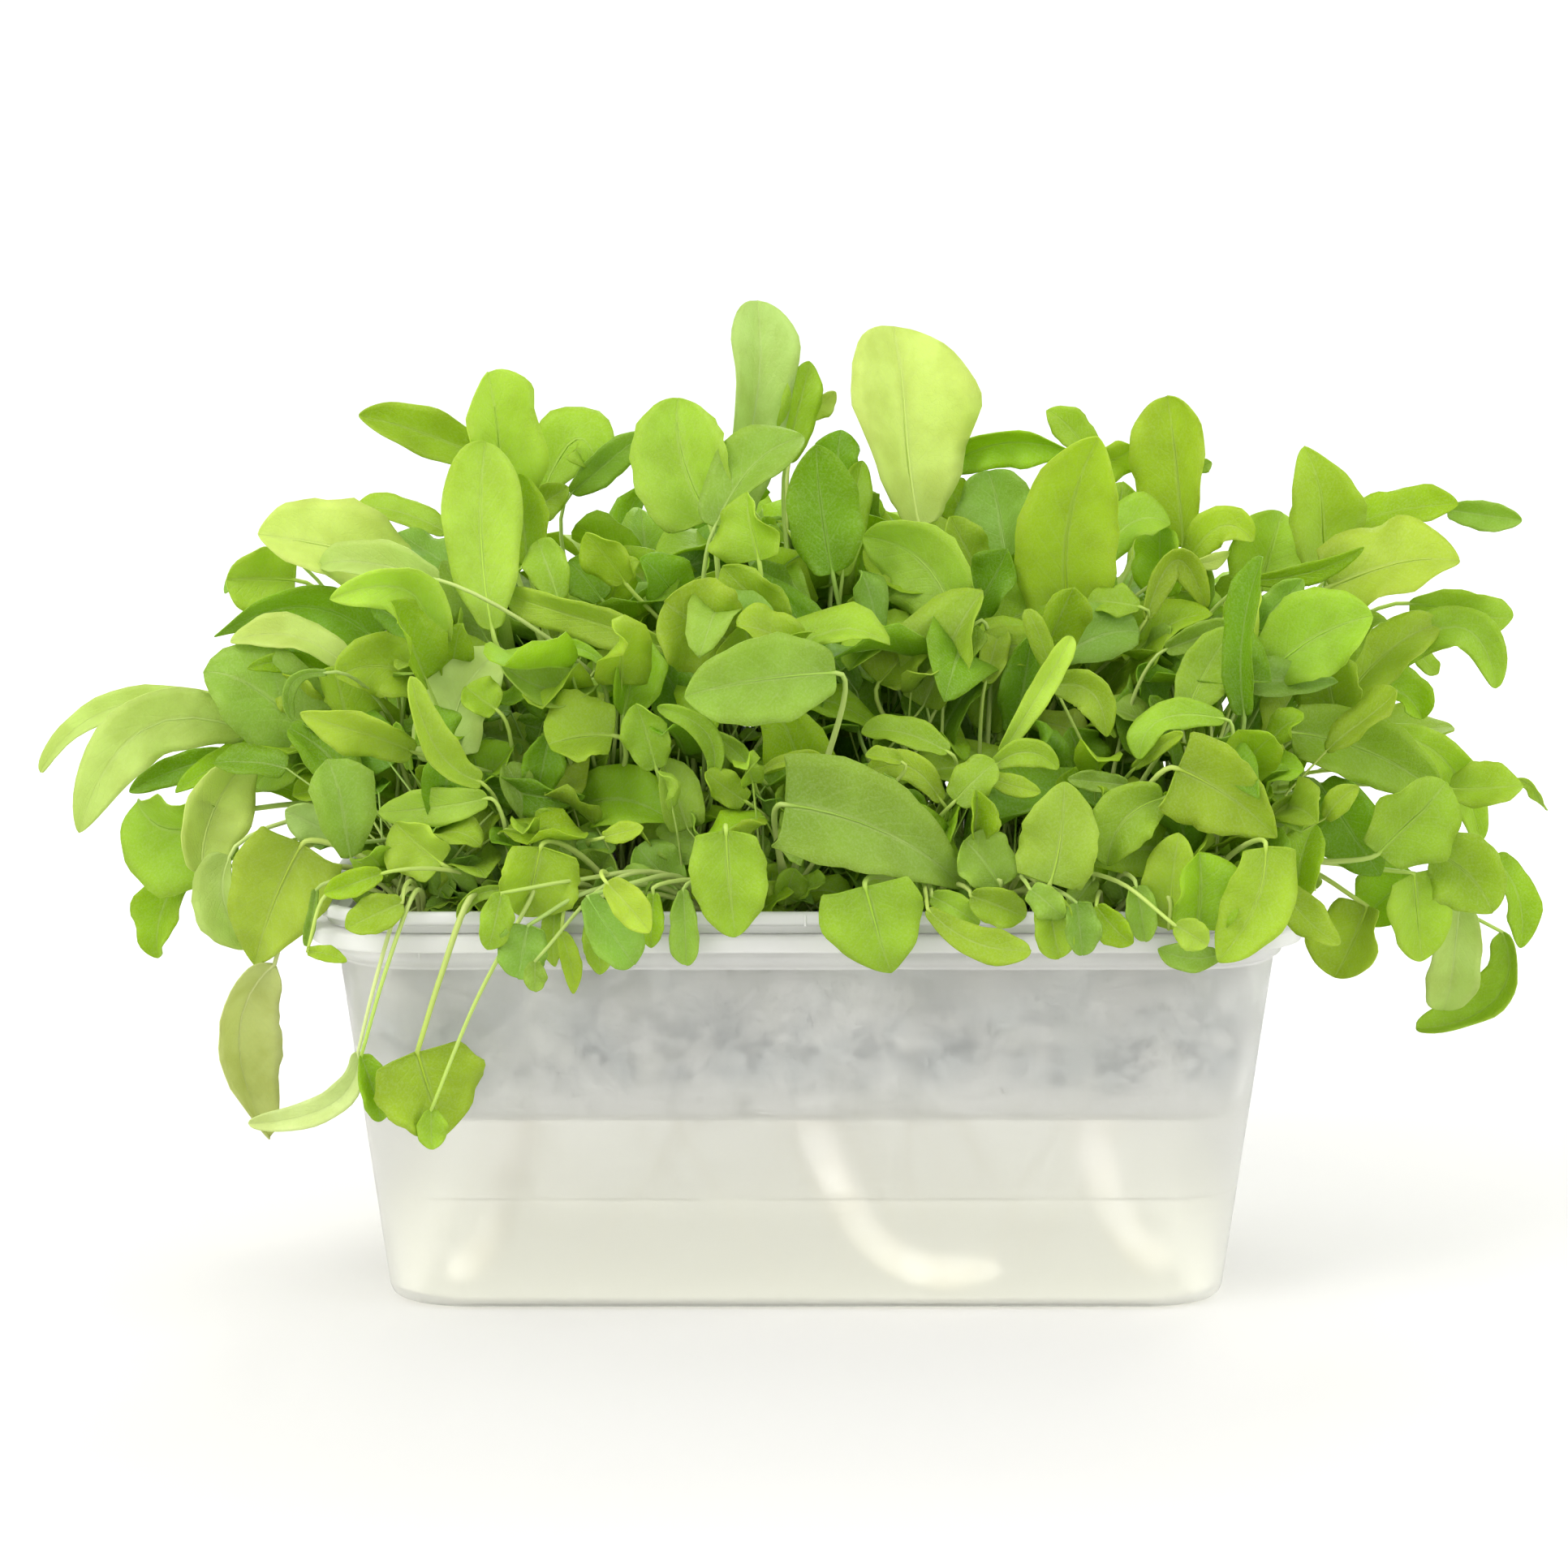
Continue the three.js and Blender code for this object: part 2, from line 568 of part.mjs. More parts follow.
  ["oval", 12, -30, -8, 194, -14, 211, 0],
  ["oval", 9, -6, -86, 223, -71, 233, 0],
];

// A point read on the upright plane, carried along its line of sight to the depth y.
function seenPoint(x, z, y) {
  return eye.clone().lerp(point(x, 0, z), (y - eye.y) / -eye.y);
}

// The nearest crowns that still have room, nearest first.
function crownsNear(base, crowns, loads, room) {
  const foot = point(base.x * 0.86, base.y * 0.8, 0);
  return crowns
    .map((place, i) => ({ i, away: Math.hypot(place.x - foot.x, place.y - foot.y) }))
    .filter(({ i }) => loads[i] < room)
    .sort((a, b) => a.away - b.away)
    .slice(0, 3)
    .map(({ i }) => i);
}

// One try at a leaf from the list. Later tries move it along its line of sight, then to another crown.
function seenTry(index, attempt, crowns, loads) {
  const [shape, wide, depth, baseX, baseZ, tipX, tipZ, turn, midX, midZ] = seenLeaves[index];
  const random = randomStream(index * 977 + 13);
  const move = Math.floor(attempt / 3) % 17;
  const step = Math.ceil(move / 2) * 2.4 * (move % 2 ? -1 : 1);
  const y = depth + step;
  const lean = (random() - 0.5) * 1.1;
  const roll = (random() - 0.5) * (y < -92 ? 40 : 76);
  const length = Math.hypot(tipX - baseX, tipZ - baseZ);
  const hanging = y < -90 && baseZ < 150;
  const tipY = y + (hanging ? lean * 0.2 : lean) * length;
  const base = seenPoint(baseX, baseZ, y);
  const tip = seenPoint(tipX, tipZ, tipY);
  const bulge = (random() - 0.4) * 0.12 * length;
  const middle = midX === undefined
    ? seenPoint((baseX + tipX) / 2, (baseZ + tipZ) / 2 + bulge, (y + tipY) / 2)
    : seenPoint(midX, midZ, (y + tipY) / 2);
  const near = crownsNear(base, crowns, loads, leavesPerPlant);
  const crown = near[Math.min(attempt >= 51 ? 1 : 0, near.length - 1)];
  return {
    shape,
    crown,
    base,
    middle,
    tip,
    width: 1.08 * wide * (y - eye.y) / -eye.y / Math.cos(roll * Math.PI / 180),
    turn: turn + roll,
    fold: (shape === "folded" ? 0.6 : 0.16) + random() * 0.16,
    wave: (random() - 0.5) * 0.3,
    arch: 1 + random() * 2 + move * 0.4,
    side: [0, 0.9, -0.9][attempt % 3],
    facing: eye.clone(),
  };
}

// One try at a filling leaf of a plant: outward from the middle of the bed, below the seen outline. The
// plants along the back and the ends also let low leaves lean out over the rim.
function fillTry(crown, number, attempt, crowns) {
  const random = randomStream(50000 + crown * 1289 + number * 97 + attempt * 7919);
  const place = crowns[crown];
  const edge = place.y > 50 || (Math.abs(place.x) > 100 && place.y > -20);
  const low = edge && number % 2 === 1;
  const outward = Math.atan2(place.y * (edge ? 3 : 1.5), place.x);
  const heading = outward + (random() - 0.5) * (low ? 1.8 : number % 2 ? 5.6 : 2.8);
  const reach = low ? 20 + random() * 26 : 8 + random() * 30;
  const tall = 30 + 66 * Math.sqrt(random());
  const short = 20 + 34 * random();
  const rise = low ? 8 + 30 * random() : place.y > -20 ? tall : short;
  const length = 24 + random() * 24;
  const pitch = low ? -1 + 1.3 * random() : (random() - 0.25) * 1.5;
  const along = point(Math.cos(heading), Math.sin(heading), 0);
  const base = place.clone().addScaledVector(along, reach);
  base.z += rise;
  const tip = base.clone().addScaledVector(along, length * Math.cos(pitch));
  tip.z += length * Math.sin(pitch);
  const middle = mix(base, tip, 0.5);
  middle.z += length * (0.05 + 0.12 * random());
  const shapes = ["oval", "oval", "heart", "arrow", "round", "strap"];
  const shape = shapes[Math.floor(random() * shapes.length)];
  return {
    shape,
    crown,
    base,
    middle,
    tip,
    width: length * (0.42 + 0.22 * random()) * (shape === "strap" ? 0.6 : 1),
    turn: (random() - 0.5) * 70,
    fold: 0.12 + random() * 0.3,
    wave: (random() - 0.5) * 0.3,
    arch: 1 + random() * 3,
    side: (random() - 0.5) * 2.4,
    facing: point(base.x, base.y, base.z + 400),
  };
}

// A filling leaf keeps inside the bed's own outline, under a height that falls off to the ends.
function fillFits(leaf) {
  const height = 216 - 40 * (leaf.tip.x / 190) ** 2 - 14 * (leaf.tip.y / 120) ** 2;
  const top = Math.max(leaf.tip.z, leaf.base.z, leaf.middle.z);
  return top < height && Math.abs(leaf.tip.x) < 188 && Math.abs(leaf.tip.y) < 132 && leaf.tip.z > 62;
}

// Points down the stalk, from inside the crown to the blade. A stalk whose blade hangs outside the tub
// goes over the rim first.
function stalkPoints(leaf, crowns) {
  const start = crowns[leaf.crown].clone();
  const base = leaf.base;
  const side = Math.atan2(base.y - start.y, base.x - start.x) + leaf.side;
  start.add(point(0.9 * Math.cos(side), 0.9 * Math.sin(side), -0.6));
  const direction = leaf.middle.clone().sub(base).normalize();
  if (outsideRim(base.x, base.y) > -3 && base.z < lipTop + 9) {
    let share = 1;
    for (let i = 0; i <= 40; i++) {
      if (outsideRim(start.x + (base.x - start.x) * i / 40, start.y + (base.y - start.y) * i / 40) > 2.6) {
        share = i / 40;
        break;
      }
    }
    const over = mix(start, base, share);
    over.z = Math.max(lipTop + 2.6 + leaf.arch, base.z + 1.5);
    const knee = mix(start, over, 0.5);
    knee.z = over.z - 0.6;
    return [start, knee, over, base];
  }
  const reach = start.distanceTo(base);
  const rising = start.clone();
  rising.z += reach * 0.36;
  const arriving = base.clone().addScaledVector(direction, -reach * 0.26);
  const curve = new THREE.CubicBezierCurve3(start, rising, arriving, base);
  const inner = reach > 110 ? [1 / 3, 2 / 3] : [0.5];
  return [start, ...inner.map((u) => curve.getPoint(u)), base];
}

// Cross-section frame at a point: along, up (the blade's upper side) and across.
function frameAt(along, facing, turn) {
  const up = facing.clone().addScaledVector(along, -facing.dot(along));
  if (up.lengthSq() < 1e-6) up.set(along.z, 0, -along.x);
  up.normalize().applyAxisAngle(along, turn * Math.PI / 180);
  return { up, across: up.clone().cross(along) };
}

// Rings of four corners (left edge, upper middle, right edge, lower middle) down the leaf, between the
// point where the stalk starts inside the crown and the blade's tip.
function leafRings(leaf, crowns, grow) {
  const stalk = stalkPoints(leaf, crowns);
  const bend = leaf.middle.clone().multiplyScalar(2).addScaledVector(leaf.base, -0.5)
    .addScaledVector(leaf.tip, -0.5);
  const blade = new THREE.QuadraticBezierCurve3(leaf.base, bend, leaf.tip);
  const length = leaf.base.distanceTo(leaf.middle) + leaf.middle.distanceTo(leaf.tip);
  const facing = leaf.facing.clone().sub(leaf.base).normalize();
  const rings = [];
  for (let i = 1; i < stalk.length; i++) {
    const after = i + 1 < stalk.length ? stalk[i + 1] : leaf.middle;
    const along = after.clone().sub(stalk[i - 1]).normalize();
    const { up, across } = frameAt(along, facing, leaf.turn);
    const radius = stalkRadius + grow;
    rings.push([
      stalk[i].clone().addScaledVector(across, -radius),
      stalk[i].clone().addScaledVector(up, radius),
      stalk[i].clone().addScaledVector(across, radius),
      stalk[i].clone().addScaledVector(up, -radius),
    ]);
  }
  const stations = bladeStations(leaf.width);
  stations.forEach((share, i) => {
    const along = blade.getTangent(share);
    const { up, across } = frameAt(along, facing, leaf.turn);
    const half = leaf.width / 2 * halfWidthShare(leaf.shape, share) + grow;
    const thick = bladeThickness / 2 + grow;
    const centre = blade.getPoint(share);
    const back = i === 0 ? bladeShapes[leaf.shape].lobe * length : 0;
    const sway = leaf.wave * half * (i === 1 ? -0.6 : 0.8);
    const corner = (side) => centre.clone()
      .addScaledVector(across, side * half)
      .addScaledVector(up, leaf.fold * half + side * sway)
      .addScaledVector(along, -back);
    rings.push([
      corner(-1),
      centre.clone().addScaledVector(up, thick),
      corner(1),
      centre.clone().addScaledVector(up, -thick),
    ]);
  });
  const tip = leaf.tip.clone().addScaledVector(blade.getTangent(1), grow);
  return { root: stalk[0], rings, tip };
}

// Closed solid from the rings; both faces are split along the same diagonals. Without its root, the
// solid starts at the first ring with a flat end.
function leafSolid(leaf, crowns, grow = 0, rooted = true) {
  const { root, rings, tip } = leafRings(leaf, crowns, grow);
  const vertices = [...rings.flat(), tip, root];
  const end = vertices.length - 2;
  const faces = [];
  if (rooted) faces.push([0, 1, end + 1], [1, 2, end + 1], [2, 3, end + 1], [3, 0, end + 1]);
  else faces.push([0, 1, 2], [0, 2, 3]);
  for (let i = 0; i < rings.length - 1; i++) {
    const [l, t, r, b] = [4 * i, 4 * i + 1, 4 * i + 2, 4 * i + 3];
    faces.push([l, t + 4, t], [l, l + 4, t + 4], [r, t, t + 4], [r, t + 4, r + 4]);
    faces.push([r, b + 4, b], [r, r + 4, b + 4], [l, b, b + 4], [l, b + 4, l + 4]);
  }
  const [l, t, r, b] = [end - 4, end - 3, end - 2, end - 1];
  faces.push([l, end, t], [t, end, r], [r, end, b], [b, end, l]);
  if (!rooted) vertices.pop();
  return solidFrom(geometryFrom(vertices, faces));
}

function boundsOf(leaf, crowns) {
  const { root, rings, tip } = leafRings(leaf, crowns, leafGap + 0.1);
  return new THREE.Box3().setFromPoints([root, ...rings.flat(), tip]);
}

// Places every leaf clear of the tub, the soil and the other plants.
function growPlants(crowns, obstacles) {
  const loads = crowns.map(() => 0);
  const placed = [];
  const stubs = crowns.map((place, i) => ({
    plant: i,
    box: new THREE.Box3().setFromPoints([...crownRing(place, crownRadius, place.z - 2),
      ...crownRing(place, crownRadius, place.z + 3.6)]),
    solid: crownSolid(place),
  }));

  function settle(leaf) {
    const box = boundsOf(leaf, crowns);
    const whole = leafSolid(leaf, crowns, leafGap);
    const upper = leafSolid(leaf, crowns, leafGap, false);
    const clear = !obstacles.some((solid) => meets(whole, solid))
      && !stubs.some((s) => s.plant !== leaf.crown && s.box.intersectsBox(box) && meets(whole, s.solid))
      && !placed.some((p) => p.box.intersectsBox(box)
        && meets(p.plant === leaf.crown ? upper : whole, p.solid));
    whole.delete();
    upper.delete();
    if (clear) {
      placed.push({ plant: leaf.crown, box, leaf, solid: leafSolid(leaf, crowns) });
      loads[leaf.crown] += 1;
    }
    return clear;
  }

  seenLeaves.forEach((row, index) => {
    for (let attempt = 0; attempt < mostTries; attempt++) {
      if (settle(seenTry(index, attempt, crowns, loads))) break;
    }
  });
  for (let number = 0; number < 5; number++) {
    crowns.forEach((place, crown) => {
      const enough = Math.abs(place.x) > 100 || place.y > 20 ? 5 : 4;
      for (let attempt = 0; attempt < 40 && loads[crown] < enough; attempt++) {
        const leaf = fillTry(crown, number, attempt, crowns);
        if (fillFits(leaf) && settle(leaf)) break;
      }
    });
  }
  return crowns.map((place, i) => {
    const leaves = placed.filter((p) => p.plant === i);
    return leaves.reduce((joined, p) => joined.add(p.solid), stubs[i].solid);
  });
}

const frosted = plainMaterial("#d9dcd8", 0.45, 0.6);
const tub = tubSolid();
let tray = traySolid();
let soil = soilSolid();
let water = waterSolid();
const crowns = crownPlaces();
for (const place of crowns) {
  soil = soil.subtract(crownHole(place));
}
const plants = growPlants(crowns, [tub, tray, soil]);

for (const [side, path] of Object.entries(wickPaths)) {
  const channel = wickSolid(path, wickRadius + 0.8, 1);
  tray = tray.subtract(channel);
  soil = soil.subtract(channel);
  water = water.subtract(channel);
  addPiece(`wick_${side}`, geometryOf(wickSolid(path, wickRadius, 0)), plainMaterial("#f4f3ee", 0.9));
}
addPiece("reservoir_tub", geometryOf(tub), frosted);
addPiece("growing_tray", geometryOf(tray), frosted);
addPiece("soil", geometryOf(soil), plainMaterial("#3a332c", 0.95));
addPiece("water", geometryOf(water), plainMaterial("#dfe3d6", 0.1, 0.5));
plants.forEach((solid, i) => {
  const name = `plant_${String(i + 1).padStart(2, "0")}`;
  addPiece(name, geometryOf(solid), plainMaterial("#9bc53d", 0.55));
});

export default object;
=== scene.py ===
import math

import bpy
import numpy as np
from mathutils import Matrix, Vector
from mathutils.kdtree import KDTree


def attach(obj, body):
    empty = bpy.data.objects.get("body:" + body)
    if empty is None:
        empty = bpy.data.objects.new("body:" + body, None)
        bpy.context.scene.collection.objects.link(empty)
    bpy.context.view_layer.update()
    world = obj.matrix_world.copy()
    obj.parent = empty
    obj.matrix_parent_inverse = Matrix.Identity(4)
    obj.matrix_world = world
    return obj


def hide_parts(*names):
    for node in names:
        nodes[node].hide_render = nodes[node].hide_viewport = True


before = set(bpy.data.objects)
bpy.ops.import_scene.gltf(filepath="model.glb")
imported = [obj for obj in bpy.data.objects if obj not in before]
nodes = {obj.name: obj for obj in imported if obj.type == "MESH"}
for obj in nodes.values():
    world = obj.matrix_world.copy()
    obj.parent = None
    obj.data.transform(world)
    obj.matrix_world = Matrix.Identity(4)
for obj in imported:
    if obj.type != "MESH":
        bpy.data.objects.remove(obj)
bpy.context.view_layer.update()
mm = 0.001


def feed(tree, socket, value):  # a link from a socket, or else a plain value
    if isinstance(value, bpy.types.NodeSocket):
        tree.links.new(value, socket)
    else:
        socket.default_value = value


def put(tree, kind, inputs=None, **settings):  # one node, with its settings, links and plain values
    node = tree.nodes.new(kind)
    for name, value in settings.items():
        setattr(node, name, value)
    for key, value in (inputs or {}).items():
        feed(tree, node.inputs[key], value)
    return node


def calc(tree, operation, *values):
    return put(tree, "ShaderNodeMath", dict(enumerate(values)), operation=operation).outputs[0]


def add(tree, first, second):
    return calc(tree, "ADD", first, second)


def times(tree, first, second):
    return calc(tree, "MULTIPLY", first, second)


def less(tree, first, second):
    return calc(tree, "SUBTRACT", first, second)


def vectorCalc(tree, operation, first, second):
    inputs = {0: first, "Scale" if operation == "SCALE" else 1: second}
    return put(tree, "ShaderNodeVectorMath", inputs, operation=operation).outputs[0]


def axisOf(tree, vector, axis):
    return put(tree, "ShaderNodeSeparateXYZ", {0: vector}).outputs[axis]


def blendColours(tree, amount, first, second, mode="MIX"):
    inputs = {0: amount, 6: first, 7: second}
    return put(tree, "ShaderNodeMix", inputs, data_type="RGBA", blend_type=mode).outputs[2]


def spread(tree, value, fromLow, fromHigh, toLow=0.0, toHigh=1.0):
    inputs = dict(enumerate((value, fromLow, fromHigh, toLow, toHigh)))
    return put(tree, "ShaderNodeMapRange", inputs, interpolation_type="SMOOTHSTEP").outputs[0]


def noise(tree, place, scale, detail, roughness=0.5, distortion=0.0):
    return put(tree, "ShaderNodeTexNoise", {"Vector": place, "Scale": scale, "Detail": detail,
                                            "Roughness": roughness, "Distortion": distortion}).outputs["Fac"]


def bumped(tree, height, strength, distance):
    inputs = {"Height": height, "Strength": strength, "Distance": distance}
    return put(tree, "ShaderNodeBump", inputs).outputs["Normal"]


def objectPlace(tree):
    return put(tree, "ShaderNodeTexCoord").outputs["Object"]


def heightOf(tree):
    return axisOf(tree, objectPlace(tree), 2)


def field(tree, name, output="Fac"):  # a value that the mesh carries
    return put(tree, "ShaderNodeAttribute", attribute_name=name).outputs[output]


def principled(tree, inputs):
    return put(tree, "ShaderNodeBsdfPrincipled", inputs).outputs[0]


def letThrough(tree, share, surface, inputs):  # lets a share of the light shine through the surface
    glow = put(tree, "ShaderNodeBsdfTranslucent", inputs).outputs[0]
    return put(tree, "ShaderNodeMixShader", {0: share, 1: surface, 2: glow}).outputs[0]


def pointValue(tree, what):  # Position or Normal of the shape that a geometry tree works on
    return put(tree, "GeometryNodeInput" + what).outputs[0]


def named(tree, name, kind="FLOAT"):
    return put(tree, "GeometryNodeInputNamedAttribute", {"Name": name}, data_type=kind).outputs[0]


def moved(tree, shape, offset):
    return put(tree, "GeometryNodeSetPosition", {"Geometry": shape, "Offset": offset}).outputs[0]


def joined(tree, *shapes):
    join = put(tree, "GeometryNodeJoinGeometry")
    for shape in shapes:
        tree.links.new(shape, join.inputs[0])
    return join.outputs[0]


def strands(tree, lines, sides):  # round strands along polylines, as thick as their points say
    course = put(tree, "GeometryNodeMeshToCurve", {"Mesh": lines}).outputs[0]
    ring = put(tree, "GeometryNodeCurvePrimitiveCircle", {"Resolution": sides, "Radius": 1.0}).outputs[0]
    return put(tree, "GeometryNodeCurveToMesh", {
        "Curve": course, "Profile Curve": ring, "Scale": named(tree, "thick"), "Fill Caps": True}).outputs[0]


def endTree(tree, result, shape, *dressings):  # real geometry, smooth, with a material for each selection
    shape = put(tree, "GeometryNodeRealizeInstances", {0: shape}).outputs[0]
    shape = put(tree, "GeometryNodeSetShadeSmooth", {0: shape}).outputs[0]
    for selection, material in dressings:
        inputs = {"Geometry": shape, "Selection": selection, "Material": material}
        shape = put(tree, "GeometryNodeSetMaterial", inputs).outputs[0]
    tree.links.new(shape, result[0])
    return tree


def colour(text, gain=1.0):  # a hex colour as linear numbers
    channels = [int(text[i:i + 2], 16) / 255 for i in (1, 3, 5)]
    linear = [c / 12.92 if c < 0.04045 else ((c + 0.055) / 1.055) ** 2.4 for c in channels]
    return tuple(c * gain for c in linear) + (1.0,)


def newTree(kind, name, inputs, outputs):  # a node tree with named sockets
    tree = bpy.data.node_groups.new(name, kind + "NodeTree")
    for label, sort, *value in inputs:
        socket = tree.interface.new_socket(label, in_out="INPUT", socket_type="NodeSocket" + sort)
        if value:
            socket.default_value = value[0]
    for label, sort in outputs:
        tree.interface.new_socket(label, in_out="OUTPUT", socket_type="NodeSocket" + sort)
    return tree, tree.nodes.new("NodeGroupInput").outputs, tree.nodes.new("NodeGroupOutput").inputs


def newMaterial(name):
    material = bpy.data.materials.new(name)
    material.use_nodes = True
    material.node_tree.nodes.clear()
    return material, material.node_tree


def endMaterial(material, surface):
    put(material.node_tree, "ShaderNodeOutputMaterial", {"Surface": surface})
    return material


def newObject(name, data):
    thing = bpy.data.objects.new(name, data)
    bpy.context.scene.collection.objects.link(thing)
    return thing


def meshObject(name, vertices, faces, edges=()):
    mesh = bpy.data.meshes.new(name)
    mesh.from_pydata([tuple(v) for v in vertices], list(edges), [tuple(f) for f in faces])
    mesh.update()
    return newObject(name, mesh)


def smooth(thing, angle=32):
    thing.data.shade_smooth()
    thing.data.set_sharp_from_angle(angle=math.radians(angle))


def applyTree(thing, tree, values):  # runs a Geometry Nodes tree on an object and keeps the result as its mesh
    modifier = thing.modifiers.new(tree.name, "NODES")
    modifier.node_group = tree
    for item in tree.interface.items_tree:
        if item.item_type == "SOCKET" and item.in_out == "INPUT" and item.name in values:
            modifier[item.identifier] = values[item.name]
    thing.update_tag()
    graph = bpy.context.evaluated_depsgraph_get()
    graph.update()
    mesh = bpy.data.meshes.new_from_object(thing.evaluated_get(graph), depsgraph=graph)
    thing.modifiers.remove(modifier)
    old = thing.data
    thing.data = mesh
    mesh.name = thing.name
    bpy.data.meshes.remove(old)
    return thing


def settle(thing, slot, *replaced):
    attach(thing, "root")
    if replaced:
        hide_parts(*replaced)
    print(f"{thing.name}: {sum(len(p.vertices) - 2 for p in thing.data.polygons)} triangles")


def randomStream(seed):
    state = seed & 0xFFFFFFFF

    def following():
        nonlocal state
        state = (state + 0x6D2B79F5) & 0xFFFFFFFF
        mixed = ((state ^ (state >> 15)) * (state | 1)) & 0xFFFFFFFF
        mixed ^= (mixed + ((mixed ^ (mixed >> 7)) * (mixed | 61))) & 0xFFFFFFFF
        return (mixed ^ (mixed >> 14)) / 4294967296

    return following


def unit(v):
    return v / max(np.linalg.norm(v), 1e-12)


def bowed(start, bend, end, t):  # a point on the curve from start to end that bend pulls at
    return start * (1 - t) ** 2 + bend * 2 * t * (1 - t) + end * t * t


def between(p, q, start, end, t):
    return p * (end - t) / (end - start) + q * (t - start) / (end - start)


def clouds(tree, place, scale):
    return noise(tree, place, scale, 4.0, 0.55, 0.3)


def fineGrain(tree, place, scale):
    return noise(tree, place, scale, 2.0, 0.6)


def makeGrainGroup():  # soft clouds and fine grain, from Object coordinates
    tree, given, result = newTree("Shader", "grain", [
        ("Cloud Scale", "Float", 30.0), ("Grain Scale", "Float", 900.0), ("Stretch", "Vector", (1.0, 1.0, 1.0)),
    ], [("Cloud", "Float"), ("Grain", "Float"), ("Cell", "Float")])
    place = vectorCalc(tree, "MULTIPLY", objectPlace(tree), given["Stretch"])
    cell = put(tree, "ShaderNodeTexVoronoi", {"Vector": place, "Scale": given["Grain Scale"]})
    feed(tree, result["Cloud"], clouds(tree, place, given["Cloud Scale"]))
    feed(tree, result["Grain"], fineGrain(tree, place, given["Grain Scale"]))
    feed(tree, result["Cell"], cell.outputs["Distance"])
    return tree


grainGroup = makeGrainGroup()


def putGrain(tree, cloudScale, grainScale, stretch=(1, 1, 1)):
    inputs = {"Cloud Scale": cloudScale, "Grain Scale": grainScale, "Stretch": stretch}
    return put(tree, "ShaderNodeGroup", inputs, node_tree=grainGroup).outputs


tub = {
    "rimLength": 284, "rimWidth": 190, "rimCorner": 28, "height": 113.2, "baseInset": 20.4, "draft": 13.3 / 105,
    "wall": 1.2, "trayWall": 1.0, "trayGap": 1.0, "trayFloor": 57, "lipTop": 120, "water": 34, "panel": 0.5,
    "cornerSteps": 18, "edgeRadius": 0.9,
}


def wallInset(z):
    return tub["baseInset"] - tub["draft"] * z


def outsideRim(x, y):
    overX = abs(x) - (tub["rimLength"] / 2 - tub["rimCorner"])
    overY = abs(y) - (tub["rimWidth"] / 2 - tub["rimCorner"])
    return math.hypot(max(overX, 0), max(overY, 0)) + min(max(overX, overY), 0) - tub["rimCorner"]


def outlineRing(inset, z, steps=tub["cornerSteps"], sideSteps=1):
    halfX = tub["rimLength"] / 2 - inset
    halfY = tub["rimWidth"] / 2 - inset
    radius = max(tub["rimCorner"] - inset * 0.3, 4)
    ring = []
    for corner in range(4):
        cx = (1 if corner in (0, 3) else -1) * (halfX - radius)
        cy = (1 if corner < 2 else -1) * (halfY - radius)
        for step in range(steps + 1):
            angle = (corner + step / steps) * math.pi / 2
            ring.append(np.array([cx + radius * math.cos(angle), cy + radius * math.sin(angle), z]))
    full = []
    for i, start in enumerate(ring):  # straight runs get points of their own where a surface needs them
        full.append(start)
        if (i + 1) % (steps + 1) == 0:
            end = ring[(i + 1) % len(ring)]
            full += [start + (end - start) * k / sideSteps for k in range(1, sideSteps)]
    return full


def softened(profile, radius, steps=3):  # rounds the corners of an open profile of (inset, z) points
    points = [np.array(p, float) for p in profile]
    result = [points[0]]
    for before, here, after in zip(points, points[1:], points[2:]):
        back, ahead = before - here, after - here
        cut = min(radius, 0.45 * np.linalg.norm(back), 0.45 * np.linalg.norm(ahead))
        start, end = here + unit(back) * cut, here + unit(ahead) * cut
        result += [bowed(start, here, end, k / steps) for k in range(steps + 1)]
    return result + [points[-1]]


def loft(rings):  # closed loft through rings that run counter-clockwise seen from above, lowest first
    count = len(rings[0])
    faces = []
    for level in range(len(rings) - 1):
        for i in range(count):
            a, b = level * count + i, level * count + (i + 1) % count
            faces.append((a, b, b + count, a + count))
    top = (len(rings) - 1) * count
    faces.append(tuple(reversed(range(count))))
    faces.append(tuple(top + i for i in range(count)))
    return [p * mm for ring in rings for p in ring], faces


def joinShapes(shapes):
    vertices, faces = [], []
    for points, polygons in shapes:
        start = len(vertices)
        vertices += points
        faces += [tuple(start + i for i in polygon) for polygon in polygons]
    return vertices, faces


def smallRib(x, inset, lowZ, highZ, width=0.9, proud=0.35):  # a moulded rib on the front of the rim
    y = -(tub["rimWidth"] / 2 - inset)
    profile = [(-width / 2, 0.3), (-width * 0.3, -proud), (width * 0.3, -proud), (width / 2, 0.3)]
    lower = [np.array([x + dx, y + dy, lowZ]) * mm for dx, dy in profile]
    upper = [np.array([x + dx, y + dy, highZ]) * mm for dx, dy in profile]
    faces = [(i, i + 1, i + 5, i + 4) for i in range(3)] + [(3, 0, 4, 7), (3, 2, 1, 0), (4, 5, 6, 7)]
    return lower + upper, faces


def ringMark(x, inset, z, radius=1.7, thick=0.28):  # the little round mark that the mould leaves
    y = -(tub["rimWidth"] / 2 - inset)
    vertices, faces = [], []
    for i in range(20):
        turn = i * math.pi / 10
        for k in range(6):
            tilt = k * math.pi / 3
            reach = radius + thick * math.cos(tilt)
            vertices.append(np.array([x + reach * math.cos(turn), y - thick * math.sin(tilt),
                                      z + reach * math.sin(turn)]) * mm)
            faces.append((i * 6 + k, i * 6 + (k + 1) % 6, ((i + 1) % 20) * 6 + (k + 1) % 6, ((i + 1) % 20) * 6 + k))
    return vertices, faces


